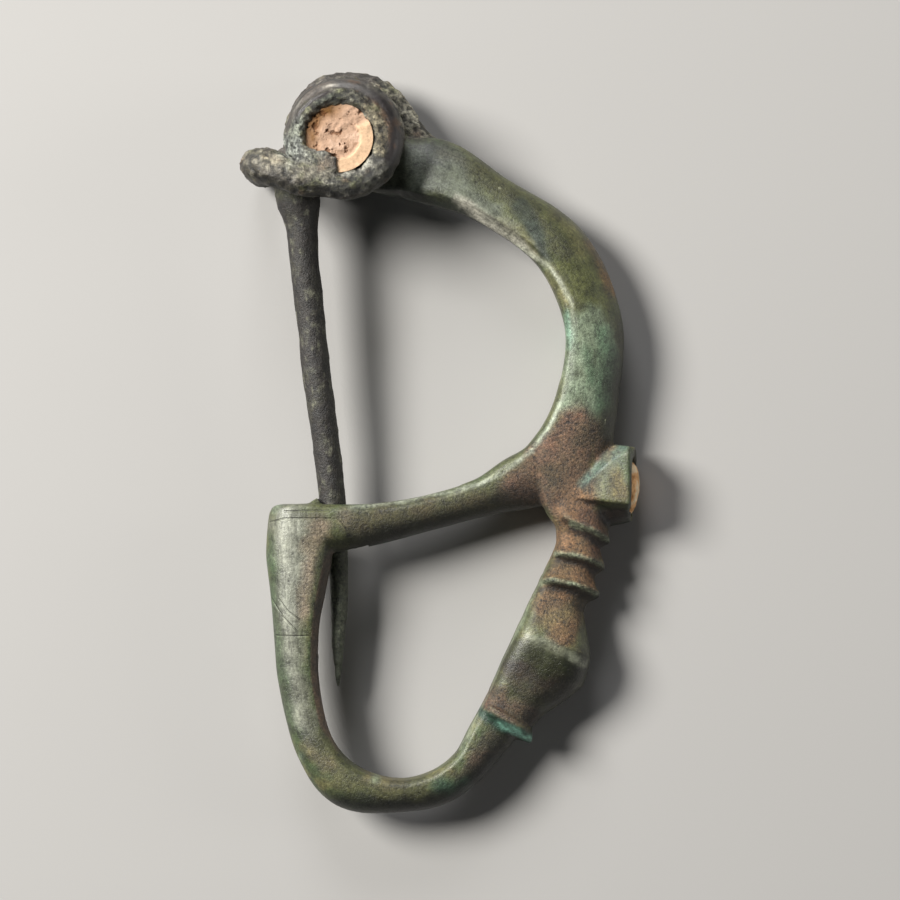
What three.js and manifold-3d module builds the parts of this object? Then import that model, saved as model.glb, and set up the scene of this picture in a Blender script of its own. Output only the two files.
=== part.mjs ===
// Bronze fibula brooch of the early Iron Age: an arched bow wound at its head into a two-sided spring
// with an outside chord and a long pin, and a catch whose foot turns back in a loop and is fused to
// the bow. Millimetres. The brooch is drawn in its own plane, x across, y from foot to spring and z
// through its thickness, and is then laid on its side on the ground plane z = 0.

import * as THREE from 'three';
import { ParametricGeometry } from 'three/addons/geometries/ParametricGeometry.js';
import { mergeVertices } from 'three/addons/utils/BufferGeometryUtils.js';
import Module from 'manifold-3d';

// Spring: round wire in turns on both sides of the bow, on an axis that leans a little as it goes back
const WIRE_RADIUS = 1.1;
const COIL_RADIUS = 3.75;
const COIL_PITCH = 2.4;
const COIL_STEPS = 22;
const COIL_CENTRE = [-8.5, 24.8];
const COIL_LEAN = 0.13;
const NEAR_END_Z = 5.1;
const FAR_START_Z = -1.6;

// Fill in the spring's eye
const FILL_RADIUS = 2.35;
const FILL_NEAR_Z = 5.7;
const FILL_FAR_Z = -4.2;
const FILL_DISH = 0.5;

// Catch: the pin's gutter lies behind its near wall, under a short lip folded round the left edge
const NEAR_WALL_Z = 0.7;
const LIP_Z = -1.3;

// Disc cup on the outer side of the foot's head
const DISC_CENTRE = [14.8, -2.7, 0.3];
const DISC_TURN = -0.12;
const DISC_FACE = 0.15;
const DISC_RADIUS = 3.0;
const CUP_RADIUS = 2.5;
const CUP_DEPTH = 1.1;
const INLAY_RADIUS = 2.25;
const INLAY_DOME = 0.7;

// Resting attitude and the shallow flats that it rests on
const LIE_ABOUT_Y = 0.09;
const LIE_ABOUT_X = 0.015;
const FLAT_DEPTH = 0.2;
const SLAB_WIDTH = 100;
const SLAB_HEIGHT = 10;

const wasm = await Module();
wasm.setup();

const bronze = new THREE.MeshStandardMaterial({ color: 0x4a5a40, roughness: 0.5, metalness: 0.6 });
const paleFill = new THREE.MeshStandardMaterial({ color: 0xd9a98a, roughness: 0.95, metalness: 0 });
const paleInlay = new THREE.MeshStandardMaterial({ color: 0xd89a66, roughness: 0.85, metalness: 0 });

// A closed three.js geometry as a solid, with its shared vertices merged
function solidOf(geometry) {
  const bare = new THREE.BufferGeometry();
  bare.setAttribute('position', geometry.getAttribute('position'));
  bare.setIndex(geometry.index);
  const merged = mergeVertices(bare, 1e-4);
  const kept = [];
  const index = merged.index.array;
  for (let i = 0; i < index.length; i += 3) {
    const [a, b, c] = index.slice(i, i + 3);
    if (a !== b && b !== c && c !== a) kept.push(a, b, c);
  }
  const vertProperties = new Float32Array(merged.getAttribute('position').array);
  const triVerts = new Uint32Array(kept);
  return new wasm.Manifold(new wasm.Mesh({ numProp: 3, vertProperties, triVerts }));
}

// A solid as a three.js geometry
function geometryOf(solid) {
  const mesh = solid.getMesh();
  const geometry = new THREE.BufferGeometry();
  geometry.setAttribute('position', new THREE.BufferAttribute(mesh.vertProperties, mesh.numProp));
  geometry.setIndex(new THREE.BufferAttribute(mesh.triVerts, 1));
  geometry.computeVertexNormals();
  return geometry;
}

function joined(solids) {
  return solids.reduce((sum, solid) => sum.add(solid));
}

// Point of a rounded section at a turn round it; powers above 2 make that side squarer
function sectionPoint(turn, [outerPower, innerPower]) {
  const c = Math.cos(turn);
  const s = Math.sin(turn);
  const power = 2 / (c > 0 ? outerPower : innerPower);
  return [Math.sign(c) * Math.abs(c) ** power, Math.sign(s) * Math.abs(s) ** power];
}

// Closed body through frames. A frame has its centre, its side and high axes and its half sizes
// along them.
function bodyThrough(frames, sides, powers) {
  const rows = frames.length + 1;
  const surface = (u, v, target) => {
    const row = Math.round(v * rows);
    const frame = frames[Math.min(Math.max(row, 1), frames.length) - 1];
    target.copy(frame.centre);
    if (row === 0 || row === rows) return;
    const [across, deep] = sectionPoint(u * 2 * Math.PI, powers);
    target.addScaledVector(frame.side, across * frame.half[0]);
    target.addScaledVector(frame.high, deep * frame.half[1]);
  };
  return solidOf(new ParametricGeometry(surface, sides, rows));
}

// Frames that follow a path of stations, each with its place and its half width and half depth.
// The side axis is the left hand of the path; the high axis starts as z and is carried along.
function followed(stations) {
  const path = new THREE.CatmullRomCurve3(stations.map(({ at }) => new THREE.Vector3(...at)));
  const high = new THREE.Vector3(0, 0, 1);
  return stations.map(({ half }, i) => {
    const along = path.getTangent(i / (stations.length - 1));
    high.addScaledVector(along, -high.dot(along)).normalize();
    const side = new THREE.Vector3().crossVectors(high, along);
    return { centre: path.points[i], side, high: high.clone(), half };
  });
}

// Stations at even steps along smooth curves through a few of them
function smooth(stations, steps) {
  const path = new THREE.CatmullRomCurve3(stations.map(({ at }) => new THREE.Vector3(...at)));
  const size = new THREE.CatmullRomCurve3(stations.map(({ half }) => new THREE.Vector3(...half, 0)));
  return Array.from({ length: steps + 1 }, (_, i) => ({
    at: path.getPoint(i / steps).toArray(),
    half: size.getPoint(i / steps).toArray().slice(0, 2),
  }));
}

// The bow, from its head under the spring to the web where arm and foot meet it
function bow() {
  const stations = [
    { at: [-5.4, 22.7, -0.6], half: [1.9, 1.4] },
    { at: [-3.6, 22.9, -0.4], half: [2.5, 1.8] },
    { at: [-0.8, 22.4, 0], half: [2.7, 2.2] },
    { at: [3.2, 20.4, 0], half: [2.1, 2.4] },
    { at: [9.0, 16.2, 0], half: [2.35, 2.9] },
    { at: [11.6, 10.1, 0], half: [2.45, 3.1] },
    { at: [11.0, 4.1, 0], half: [2.65, 2.9] },
    { at: [10.0, -0.5, 0], half: [3.3, 2.5] },
    { at: [10.1, -4.0, 0], half: [3.1, 2.2] },
    { at: [10.7, -6.4, 0], half: [2.1, 2.1] },
  ];
  return bodyThrough(followed(smooth(stations, 40)), 20, [2, 3]);
}

// The web that rounds the corner between bow and arm
function web() {
  const stations = [
    { at: [10.8, 5.0, 0], half: [2.2, 2.4] },
    { at: [9.6, 1.6, 0], half: [2.4, 2.4] },
    { at: [7.3, -1.0, 0], half: [2.1, 2.2] },
    { at: [4.0, -2.9, 0], half: [1.4, 1.9] },
    { at: [1.5, -4.0, 0], half: [1.3, 1.7] },
  ];
  return bodyThrough(followed(smooth(stations, 16)), 16, [2.4, 2.4]);
}

// The arm from the web to the catch
function arm() {
  const stations = [
    { at: [9.6, -1.2, 0], half: [2.8, 2.2] },
    { at: [5.7, -2.5, 0], half: [2.4, 2.1] },
    { at: [2.4, -3.9, 0], half: [1.6, 1.9] },
    { at: [-1.6, -5.05, 0], half: [1.45, 1.8] },
    { at: [-5.7, -5.95, 0.1], half: [1.65, 1.8] },
    { at: [-9.6, -6.4, 0.4], half: [2.0, 1.8] },
    { at: [-12.0, -6.5, 0.4], half: [2.0, 1.8] },
  ];
  return bodyThrough(followed(smooth(stations, 24)), 16, [2.4, 2.4]);
}

// The catch and the foot's bend below it, up to the collar
function catchAndFoot() {
  const stations = [
    { at: [-12.2, -4.4, 0], half: [2.5, 2.2] },
    { at: [-12.2, -8.5, 0], half: [2.7, 2.2] },
    { at: [-12.5, -13.0, 0], half: [2.15, 2.0] },
    { at: [-12.45, -18.5, 0], half: [1.6, 1.8] },
    { at: [-10.9, -24.2, 0], half: [1.55, 1.8] },
    { at: [-8.4, -27.2, 0], half: [1.8, 1.9] },
    { at: [-4.1, -28.0, 0], half: [1.35, 1.8] },
    { at: [-0.8, -27.3, 0], half: [1.45, 1.8] },
    { at: [1.5, -25.6, 0], half: [1.5, 1.9] },
    { at: [3.1, -23.3, 0], half: [1.75, 2.0] },
    { at: [4.7, -21.0, 0], half: [2.0, 2.0] },
  ];
  return bodyThrough(followed(smooth(stations, 44)), 16, [2.2, 2.2]);
}

// The space behind the catch's near wall: open to the back on the right, under the lip on the left
function gutter() {
  const top = -3.5;
  const open = new THREE.Shape([
    new THREE.Vector2(-12.9, top),
    new THREE.Vector2(-12.9, -15.0),
    new THREE.Vector2(-12.0, -16.5),
    new THREE.Vector2(-8.0, -16.5),
    new THREE.Vector2(-6.6, -8.6),
    new THREE.Vector2(-6.6, top),
  ]);
  const behind = new THREE.ExtrudeGeometry(open, { depth: 5, bevelEnabled: false });
  behind.translate(0, 0, NEAR_WALL_Z - 5);
  const stations = [
    { at: [-12.6, top, 0], half: [1.2, 0] },
    { at: [-12.7, -13.5, 0], half: [1.0, 0] },
    { at: [-12.3, -16.0, 0], half: [0.5, 0] },
  ];
  const middle = (NEAR_WALL_Z + LIP_Z) / 2;
  const depth = (NEAR_WALL_Z - LIP_Z) / 2;
  stations.forEach((station) => {
    station.at[2] = middle;
    station.half[1] = depth;
  });
  return joined([solidOf(behind), bodyThrough(followed(smooth(stations, 8)), 12, [3, 3])]);
}

// The foot's head from the collar to the web. Each section runs from its inner to its outer edge.
function footHead() {
  const sections = [
    { inner: [1.9, -22.2], outer: [5.3, -24.4], deep: 1.9 },
    { inner: [2.2, -21.8], outer: [5.6, -23.9], deep: 2.0 },
    { inner: [2.3, -21.7], outer: [6.5, -24.0], deep: 2.6 },
    { inner: [2.7, -20.9], outer: [6.6, -23.0], deep: 2.6 },
    { inner: [2.9, -20.4], outer: [6.6, -22.4], deep: 2.2 },
    { inner: [3.3, -19.0], outer: [8.7, -20.7], deep: 2.7 },
    { inner: [3.9, -17.7], outer: [10.4, -19.4], deep: 3.0 },
    { inner: [4.5, -16.4], outer: [11.3, -17.8], deep: 3.1 },
    { inner: [5.1, -15.2], outer: [11.35, -16.5], deep: 3.0 },
    { inner: [5.8, -13.7], outer: [11.0, -14.7], deep: 2.5 },
    { inner: [6.5, -12.2], outer: [10.7, -13.2], deep: 2.1 },
    { inner: [7.1, -11.1], outer: [11.6, -12.3], deep: 2.35 },
    { inner: [7.2, -10.8], outer: [12.15, -12.0], deep: 2.6 },
    { inner: [7.3, -10.6], outer: [12.0, -11.6], deep: 2.5 },
    { inner: [7.7, -9.8], outer: [11.6, -10.8], deep: 2.0 },
    { inner: [8.2, -8.9], outer: [12.4, -9.9], deep: 2.4 },
    { inner: [8.3, -8.7], outer: [12.7, -9.6], deep: 2.6 },
    { inner: [8.4, -8.5], outer: [12.5, -9.3], deep: 2.5 },
    { inner: [8.6, -7.8], outer: [12.1, -8.3], deep: 2.0 },
    { inner: [8.6, -7.0], outer: [12.6, -7.6], deep: 2.4 },
    { inner: [8.6, -6.8], outer: [12.9, -7.3], deep: 2.6 },
    { inner: [8.6, -6.5], outer: [12.8, -6.9], deep: 2.4 },
    { inner: [8.4, -5.4], outer: [12.6, -5.6], deep: 2.1 },
  ];
  const frames = sections.map(({ inner, outer, deep }) => {
    const from = new THREE.Vector3(...inner, 0);
    const to = new THREE.Vector3(...outer, 0);
    const side = to.clone().sub(from);
    const half = [side.length() / 2, deep];
    return { centre: from.lerp(to, 0.5), side: side.negate().normalize(), high: new THREE.Vector3(0, 0, 1), half };
  });
  return bodyThrough(frames, 20, [3.5, 2.1]);
}

// Axis of the disc cup, out of its face
function discAxis() {
  return new THREE.Vector3(1, DISC_TURN, DISC_FACE).normalize();
}

// Turned solid on the disc cup's axis; the profile's heights run out from the disc's rim
function onDisc(profile, sides) {
  const lathe = new THREE.LatheGeometry(profile.map(([r, h]) => new THREE.Vector2(r, h)), sides);
  const turn = new THREE.Quaternion().setFromUnitVectors(new THREE.Vector3(0, 1, 0), discAxis());
  lathe.applyQuaternion(turn);
  lathe.translate(...DISC_CENTRE);
  return solidOf(lathe);
}

// The cup's flared stem, its rim and the recess for the inlay
function discCup() {
  const stem = [
    { at: [9.5, -2.9, 0.1], half: [3.0, 1.5] },
    { at: [12.4, -2.8, 0.2], half: [3.75, 1.6] },
    { at: [13.5, -2.8, 0.3], half: [3.5, 2.3] },
    { at: [14.4, -2.65, 0.3], half: [3.0, 2.9] },
  ];
  const flare = [
    { at: [10.4, -3.8, 1.3], half: [0.4, 0.4] },
    { at: [11.7, -3.1, 1.0], half: [1.2, 1.2] },
    { at: [13.0, -2.8, 0.6], half: [2.1, 2.1] },
    { at: [14.4, -2.75, 0.3], half: [2.9, 2.9] },
  ];
  const rim = onDisc([[0, -0.7], [DISC_RADIUS - 0.1, -0.7], [DISC_RADIUS, 0], [0, 0]], 28);
  const recess = onDisc([[0, -CUP_DEPTH], [CUP_RADIUS, -CUP_DEPTH], [CUP_RADIUS, 1], [0, 1]], 28);
  const stemBody = bodyThrough(followed(smooth(stem, 8)), 24, [2, 2]);
  const flareBody = bodyThrough(followed(smooth(flare, 8)), 20, [2, 2]);
  return joined([stemBody, flareBody, rim]).subtract(recess);
}

// The inlay in the disc cup, a low dome
function discInlay() {
  const bed = 0.2 - CUP_DEPTH;
  const profile = [[0, bed], [INLAY_RADIUS, bed], [INLAY_RADIUS, 0], [INLAY_RADIUS * 0.75, INLAY_DOME * 0.6]];
  return onDisc([...profile, [INLAY_RADIUS * 0.4, INLAY_DOME * 0.9], [0, INLAY_DOME]], 24);
}

// Centre of the spring's axis at a height in its thickness
function coilCentre(z) {
  return [COIL_CENTRE[0], COIL_CENTRE[1] + COIL_LEAN * (NEAR_END_Z - z), z];
}

// Stations round the spring's axis between two angles in turns, going away from the viewer from a height
function turns(from, to, startZ) {
  const steps = Math.round((to - from) * COIL_STEPS);
  return Array.from({ length: steps + 1 }, (_, i) => {
    const turn = ((to - from) * i) / steps;
    const angle = (from + turn) * 2 * Math.PI;
    const centre = coilCentre(startZ - COIL_PITCH * turn);
    const at = [centre[0] + COIL_RADIUS * Math.cos(angle), centre[1] + COIL_RADIUS * Math.sin(angle), centre[2]];
    return { at, half: [WIRE_RADIUS, WIRE_RADIUS] };
  });
}

// The wire from the bow's head through the far turns, the chord and the near turns to the pin's tip
function wire() {
  const round = (x, y, z, radius) => ({ at: [x, y, z], half: [radius, radius] });
  const rise = [
    round(-0.4, 22.8, -0.5, 1.5),
    round(-1.5, 24.1, -0.8, 1.3),
    round(-2.6, 25.5, -1.0, 1.15),
    round(-3.6, 26.9, -1.2, 1.1),
    round(-4.9, 28.4, -1.4, 1.1),
    round(-6.4, 29.2, -1.5, 1.1),
  ];
  const farTurns = turns(0.25, 1.45, FAR_START_Z);
  const farZ = FAR_START_Z - COIL_PITCH * 1.2;
  const chord = [
    round(-12.4, 25.0, farZ, 1.1),
    round(-13.3, 23.8, farZ, 1.1),
    round(-14.4, 23.1, farZ + 0.1, 1.15),
    round(-15.3, 22.8, farZ + 0.7, 1.2),
    round(-15.6, 22.8, farZ + 1.8, 1.15),
    round(-15.6, 22.8, 0, 1.1),
    round(-15.6, 22.8, 3.2, 1.15),
    round(-15.4, 22.8, 4.3, 1.3),
    round(-14.7, 22.6, 5.1, 1.4),
    round(-13.3, 22.1, NEAR_END_Z + 0.1, 1.35),
    round(-11.7, 21.5, NEAR_END_Z + 0.1, 1.25),
  ];
  const nearTurns = turns(0.71, 2.5, NEAR_END_Z);
  const pin = [
    round(-12.4, 23.0, 0.75, 1.3),
    round(-12.4, 21.2, 0.75, 1.75),
    round(-12.2, 19.8, 0.7, 1.7),
    round(-12.0, 18.4, 0.7, 1.35),
    round(-11.8, 15.4, 0.6, 1.2),
    round(-11.3, 11.0, 0.4, 1.15),
    round(-10.8, 6.0, 0.2, 1.15),
    round(-10.1, 1.0, -0.1, 1.12),
    round(-9.55, -4.0, -0.5, 1.08),
    round(-9.15, -8.6, -0.8, 0.85),
    round(-9.0, -12.2, -0.9, 0.7),
    round(-9.1, -15.4, -0.9, 0.55),
    round(-9.1, -17.8, -0.9, 0.3),
    round(-9.1, -19.3, -0.9, 0.1),
  ];
  return bodyThrough(followed([...rise, ...farTurns, ...chord, ...nearTurns, ...pin]), 12, [2, 2]);
}

// The fill of the spring's eye, hollowed a little at both ends
function eyeFill() {
  const span = FILL_NEAR_Z - FILL_FAR_Z;
  const profile = [
    [0, FILL_DISH], [FILL_RADIUS * 0.6, FILL_DISH * 0.6], [FILL_RADIUS, 0],
    [FILL_RADIUS, span], [FILL_RADIUS * 0.6, span - FILL_DISH * 0.6], [0, span - FILL_DISH],
  ];
  const lathe = new THREE.LatheGeometry(profile.map(([r, h]) => new THREE.Vector2(r, h)), 24);
  const axis = new THREE.Vector3(0, -COIL_LEAN, 1).normalize();
  lathe.applyQuaternion(new THREE.Quaternion().setFromUnitVectors(new THREE.Vector3(0, 1, 0), axis));
  lathe.translate(...coilCentre(FILL_FAR_Z));
  return solidOf(lathe);
}

function brooch() {
  const castParts = joined([bow(), web(), arm(), catchAndFoot()]).subtract(gutter());
  return joined([castParts, footHead(), discCup(), wire()]);
}

// A solid turned from the brooch's own plane to the way that the brooch lies
function laid(solid) {
  return solidOf(geometryOf(solid).rotateY(LIE_ABOUT_Y).rotateX(LIE_ABOUT_X));
}

function part(name, solid, material) {
  const mesh = new THREE.Mesh(geometryOf(solid), material);
  mesh.name = name;
  return mesh;
}

const lying = laid(brooch());
const lowest = new THREE.Box3().setFromObject(part('brooch', lying, bronze)).min.z;
const ground = lowest + FLAT_DEPTH;
const slab = new THREE.BoxGeometry(SLAB_WIDTH, SLAB_WIDTH, SLAB_HEIGHT);
slab.translate(0, 0, ground - SLAB_HEIGHT / 2);

const fibula = new THREE.Group();
fibula.add(part('brooch', lying.subtract(solidOf(slab)), bronze));
fibula.add(part('spring_plug', laid(eyeFill()), paleFill));
fibula.add(part('disc_inlay', laid(discInlay()), paleInlay));
const middle = new THREE.Box3().setFromObject(fibula).getCenter(new THREE.Vector3());
fibula.position.set(-middle.x, -middle.y, -ground);

export default fibula;
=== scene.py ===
"""Looks of the bronze fibula brooch: one cast and wrought piece, the fill in its spring's eye and the
inlay in its disc cup. Shapes are drawn in the brooch's own plane in millimetres (x across, y from
foot to spring, z through its thickness) and are then laid the way that the CAD model lies."""

import math

import bpy
import numpy as np
import openvdb as vdb
from mathutils import Matrix, Vector, kdtree


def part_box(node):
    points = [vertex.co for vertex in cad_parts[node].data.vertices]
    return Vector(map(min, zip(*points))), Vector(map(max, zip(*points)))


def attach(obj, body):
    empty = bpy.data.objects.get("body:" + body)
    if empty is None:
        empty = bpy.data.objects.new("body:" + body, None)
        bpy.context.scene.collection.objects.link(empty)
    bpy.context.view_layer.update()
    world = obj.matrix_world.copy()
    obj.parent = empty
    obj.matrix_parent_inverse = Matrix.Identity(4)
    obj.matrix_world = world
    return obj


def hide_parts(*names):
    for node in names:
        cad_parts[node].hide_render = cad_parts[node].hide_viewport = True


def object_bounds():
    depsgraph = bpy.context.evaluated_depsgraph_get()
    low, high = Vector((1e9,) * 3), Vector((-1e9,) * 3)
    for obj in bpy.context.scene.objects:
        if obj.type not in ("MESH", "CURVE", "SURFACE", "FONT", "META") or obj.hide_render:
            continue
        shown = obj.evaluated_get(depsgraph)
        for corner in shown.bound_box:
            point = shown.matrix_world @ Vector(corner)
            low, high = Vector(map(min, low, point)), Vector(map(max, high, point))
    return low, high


MM = 0.001
VOXEL = 0.14
BAND_VOXELS = 7
MOST_TRIANGLES = 196000
FRACTAL_GAIN = 0.55
# Points round a swept section, and round what is turned on the disc's axis
RING_POINTS = 80
DISC_POINTS = 96

# Spring: round wire in turns on both sides of the bow, on an axis that leans a little as it goes back
WIRE_RADIUS = 1.1
COIL_RADIUS = 3.72
COIL_PITCH = 2.4
COIL_STEPS = 48
COIL_CENTRE = (-8.5, 24.8)
COIL_LEAN = 0.13
NEAR_END_Z = 5.1
FAR_START_Z = -1.6
FAR_RAISE = 0.25
FILL_NEAR_Z = 5.7
FILL_FAR_Z = -4.2

# The fill's near face is a little off the spring's axis
EYE = np.array([-8.88, 24.85])
EYE_RADIUS = 2.66

# Catch
NEAR_WALL_Z = 0.7
LIP_Z = -1.3
GUTTER_TOP_Y = -3.3
GUTTER = [
    (-12.9, GUTTER_TOP_Y),
    (-12.9, -15.0),
    (-12.0, -16.5),
    (-8.0, -16.5),
    (-6.6, -8.6),
    (-6.6, GUTTER_TOP_Y),
]
# A height behind the whole brooch
BEHIND_Z = -6.0
# Facet along the edges of the limbs, and along the foot head's inner edge: angle, and the second's width
BEVEL_ANGLE = math.radians(44)
HEAD_BEVEL_ANGLE = math.radians(42)
HEAD_BEVEL_WIDTH = 0.5

# How far the near side of the foot's ridges leans towards the bow, for each mm of their height
RIDGE_ARCH = 0.2
# Lumps of the spring's crust
CRUMB_SIZE = 0.45
# Crust in the lower left of the spring's eye: its outline, and its far and near heights
CRUST_LUMP = [
    (-12.1, 24.36),
    (-10.67, 23.72),
    (-9.15, 23.68),
    (-9.03, 23.08),
    (-9.07, 22.13),
    (-11.14, 21.81),
    (-12.26, 22.6),
]
CRUST_LUMP_Z = (2.0, 5.95)
# How far the foot head's highest line lies to the inner side of its middle, as a share of its half width
FOOT_CREST = 0.12

# Disc cup
DISC_CENTRE = np.array([14.8, -2.7, 0.3])
DISC_AXIS = np.array([1.0, -0.07, 0.15]) / np.linalg.norm([1.0, -0.07, 0.15])
DISC_RADIUS = 3.0
CUP_RADIUS = 2.5
CUP_DEPTH = 0.8
CUP_DROP = 0.45
INLAY_DOME = 0.6

# The way that the brooch lies
LIE_ABOUT_Y = 0.09
LIE_ABOUT_X = 0.015

# Camera: its distance from the brooch's plane and the width that it takes in there
CAMERA_DISTANCE = 300.0
VIEW_WIDTH = 72.97

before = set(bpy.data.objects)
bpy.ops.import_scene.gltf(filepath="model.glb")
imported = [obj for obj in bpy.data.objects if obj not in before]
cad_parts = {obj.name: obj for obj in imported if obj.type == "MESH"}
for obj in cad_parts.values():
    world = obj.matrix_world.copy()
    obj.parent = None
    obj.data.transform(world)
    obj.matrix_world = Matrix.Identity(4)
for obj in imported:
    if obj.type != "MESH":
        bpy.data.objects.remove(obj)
cad_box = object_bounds()


def coil_centre(z):
    """Centre of the spring's axis at a height in its thickness."""
    return np.array([COIL_CENTRE[0], COIL_CENTRE[1] + COIL_LEAN * (NEAR_END_Z - z), z])


def lie_matrix():
    """The brooch's plane in mm to the row frame in metres, placed by the CAD fill's box."""
    turn = Matrix.Rotation(LIE_ABOUT_X, 4, "X") @ Matrix.Rotation(LIE_ABOUT_Y, 4, "Y")
    low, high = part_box("spring_plug")
    drawn = turn @ Vector(coil_centre((FILL_NEAR_Z + FILL_FAR_Z) / 2)) * MM
    return Matrix.Translation((low + high) / 2 - drawn) @ turn @ Matrix.Scale(MM, 4)


LIE = lie_matrix()


# ---------------------------------------------------------------- numbers and noise


def lattice(cell, seed):
    """A number from -1 to 1 for each integer cell."""
    h = cell[..., 0] * 374761393 + cell[..., 1] * 668265263
    h = h + cell[..., 2] * 2147483647 + seed * 974634777
    h = (h ^ (h >> 13)) * 1274126177 & 0xFFFFFFFF
    h = (h ^ (h >> 15)) * 2246822519 & 0xFFFFFFFF
    return ((h ^ (h >> 16)) & 0xFFFF) / 32767.5 - 1.0


def noise(points, size, seed):
    """Smooth noise from -1 to 1 whose lumps are about `size` mm across."""
    place = np.asarray(points, float) / size + seed * 17.31
    cell = np.floor(place).astype(np.int64)
    part = place - cell
    part = part * part * part * (part * (part * 6 - 15) + 10)
    total = np.zeros(len(place))
    for corner in range(8):
        step = np.array([corner & 1, corner >> 1 & 1, corner >> 2 & 1])
        weight = np.prod(np.where(step, part, 1 - part), axis=1)
        total += weight * lattice(cell + step, seed)
    return total


def fractal(points, size, seed, octaves):
    """Noise with finer noise added on it."""
    total = np.zeros(len(points))
    reach = 0.0
    for octave in range(octaves):
        share = FRACTAL_GAIN**octave
        total += share * noise(points, size / 2.03**octave, seed + octave)
        reach += share
    return total / reach


def ramp(value, start, end):
    """0 before start, 1 after end and smooth between."""
    part = np.clip((value - start) / (end - start), 0, 1)
    return part * part * (3 - 2 * part)


def curve_at(values, where):
    """Centripetal Catmull-Rom curve through rows of values, at row numbers that may be fractions.
    The first three columns are the place that sets the pace."""
    values = np.asarray(values, float)
    padded = np.vstack([2 * values[0] - values[1], values, 2 * values[-1] - values[-2]])
    row = np.clip(np.floor(where).astype(int), 0, len(values) - 2)
    part = (where - row)[:, None]
    p0, p1, p2, p3 = (padded[row + k] for k in range(4))
    pace = []
    for a, b in ((p0, p1), (p1, p2), (p2, p3)):
        length = np.linalg.norm((b - a)[:, :3], axis=1)
        pace.append(np.maximum(np.sqrt(length), 1e-4)[:, None])
    t1 = ((p1 - p0) / pace[0] - (p2 - p0) / (pace[0] + pace[1]) + (p2 - p1) / pace[1]) * pace[1]
    t2 = ((p2 - p1) / pace[1] - (p3 - p1) / (pace[1] + pace[2]) + (p3 - p2) / pace[2]) * pace[1]
    c2 = -3 * p1 + 3 * p2 - 2 * t1 - t2
    c3 = 2 * p1 - 2 * p2 + t1 + t2
    return p1 + t1 * part + c2 * part**2 + c3 * part**3


# ---------------------------------------------------------------- swept bodies


def frames_along(path):
    """Side and high axes along a path: side is its left hand, high starts as z."""
    along = np.gradient(path, axis=0)
    along /= np.linalg.norm(along, axis=1)[:, None]
    high = np.array([0.0, 0.0, 1.0])
    sides, highs = [], []
    for direction in along:
        high = high - direction * high.dot(direction)
        high /= np.linalg.norm(high)
        highs.append(high)
        sides.append(np.cross(high, direction))
    return np.array(sides), np.array(highs)


def tube(rings):
    """Closed mesh through rings of points, with a fan over each end."""
    count, around, _ = rings.shape
    points = np.vstack([rings.reshape(-1, 3), rings[0].mean(0), rings[-1].mean(0)])
    i, j = np.meshgrid(np.arange(count - 1), np.arange(around), indexing="ij")
    k = (j + 1) % around
    quads = np.stack([i * around + j, (i + 1) * around + j, (i + 1) * around + k, i * around + k], -1)
    j = np.arange(around)
    k = (j + 1) % around
    first = np.stack([np.full(around, count * around), j, k], -1)
    end = (count - 1) * around
    last = np.stack([np.full(around, count * around + 1), end + k, end + j], -1)
    return points, np.vstack([first, last]), quads.reshape(-1, 4)


def section(left, right, near, far, powers, bevel):
    """Ring of a section from its four half sizes, side axis first. Powers above 2 make the left and
    the right side squarer. bevel is (side, width, angle) of the facet along that side's edge, or None."""
    turn = np.linspace(0, 2 * np.pi, RING_POINTS, endpoint=False)
    c, s = np.cos(turn), np.sin(turn)
    power = 2 / np.where(c > 0, powers[0], powers[1])
    u = np.sign(c) * np.abs(c) ** power * np.where(c > 0, left, right)
    v = np.sign(s) * np.abs(s) ** power * np.where(s > 0, near, far)
    if bevel is not None:
        side, width, angle = bevel
        edge = left if side > 0 else right
        squareness = powers[0] if side > 0 else powers[1]
        start = max(edge - width, 0)
        for sign, deep in ((1, near), (-1, far)):
            normal = (math.cos(angle) * side, math.sin(angle) * sign)
            arris = deep * (1 - (start / edge) ** squareness) ** (1 / squareness)
            limit = normal[0] * start * side + normal[1] * arris * sign
            reach = normal[0] * u + normal[1] * v
            scale = np.where(reach > limit, limit / np.maximum(reach, 1e-6), 1)
            u, v = u * scale, v * scale
    return u, v


def swept(stations, steps, powers, bevel=None):
    """Body along stations of (x, y, z, half width, half depth, bevel's width, crest). bevel gives the
    side and the angle of the bevel, where there is one. The crest is how far the highest line lies to
    the left of the middle, as a share of the half width."""
    stations = np.asarray(stations, float)
    rows = curve_at(stations, np.linspace(0, len(stations) - 1, steps))
    sides, highs = frames_along(rows[:, :3])
    rings = []
    for row, side, high in zip(rows, sides, highs):
        facet = bevel and (bevel[0], max(row[5], 0.05), bevel[1])
        crest = row[6] if len(row) > 6 else 0.0
        u, v = section(row[3] * (1 - crest), row[3] * (1 + crest), row[4], row[4], powers, facet)
        rings.append(row[:3] + np.outer(u + crest * row[3], side) + np.outer(v, high))
    return tube(np.array(rings))


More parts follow.
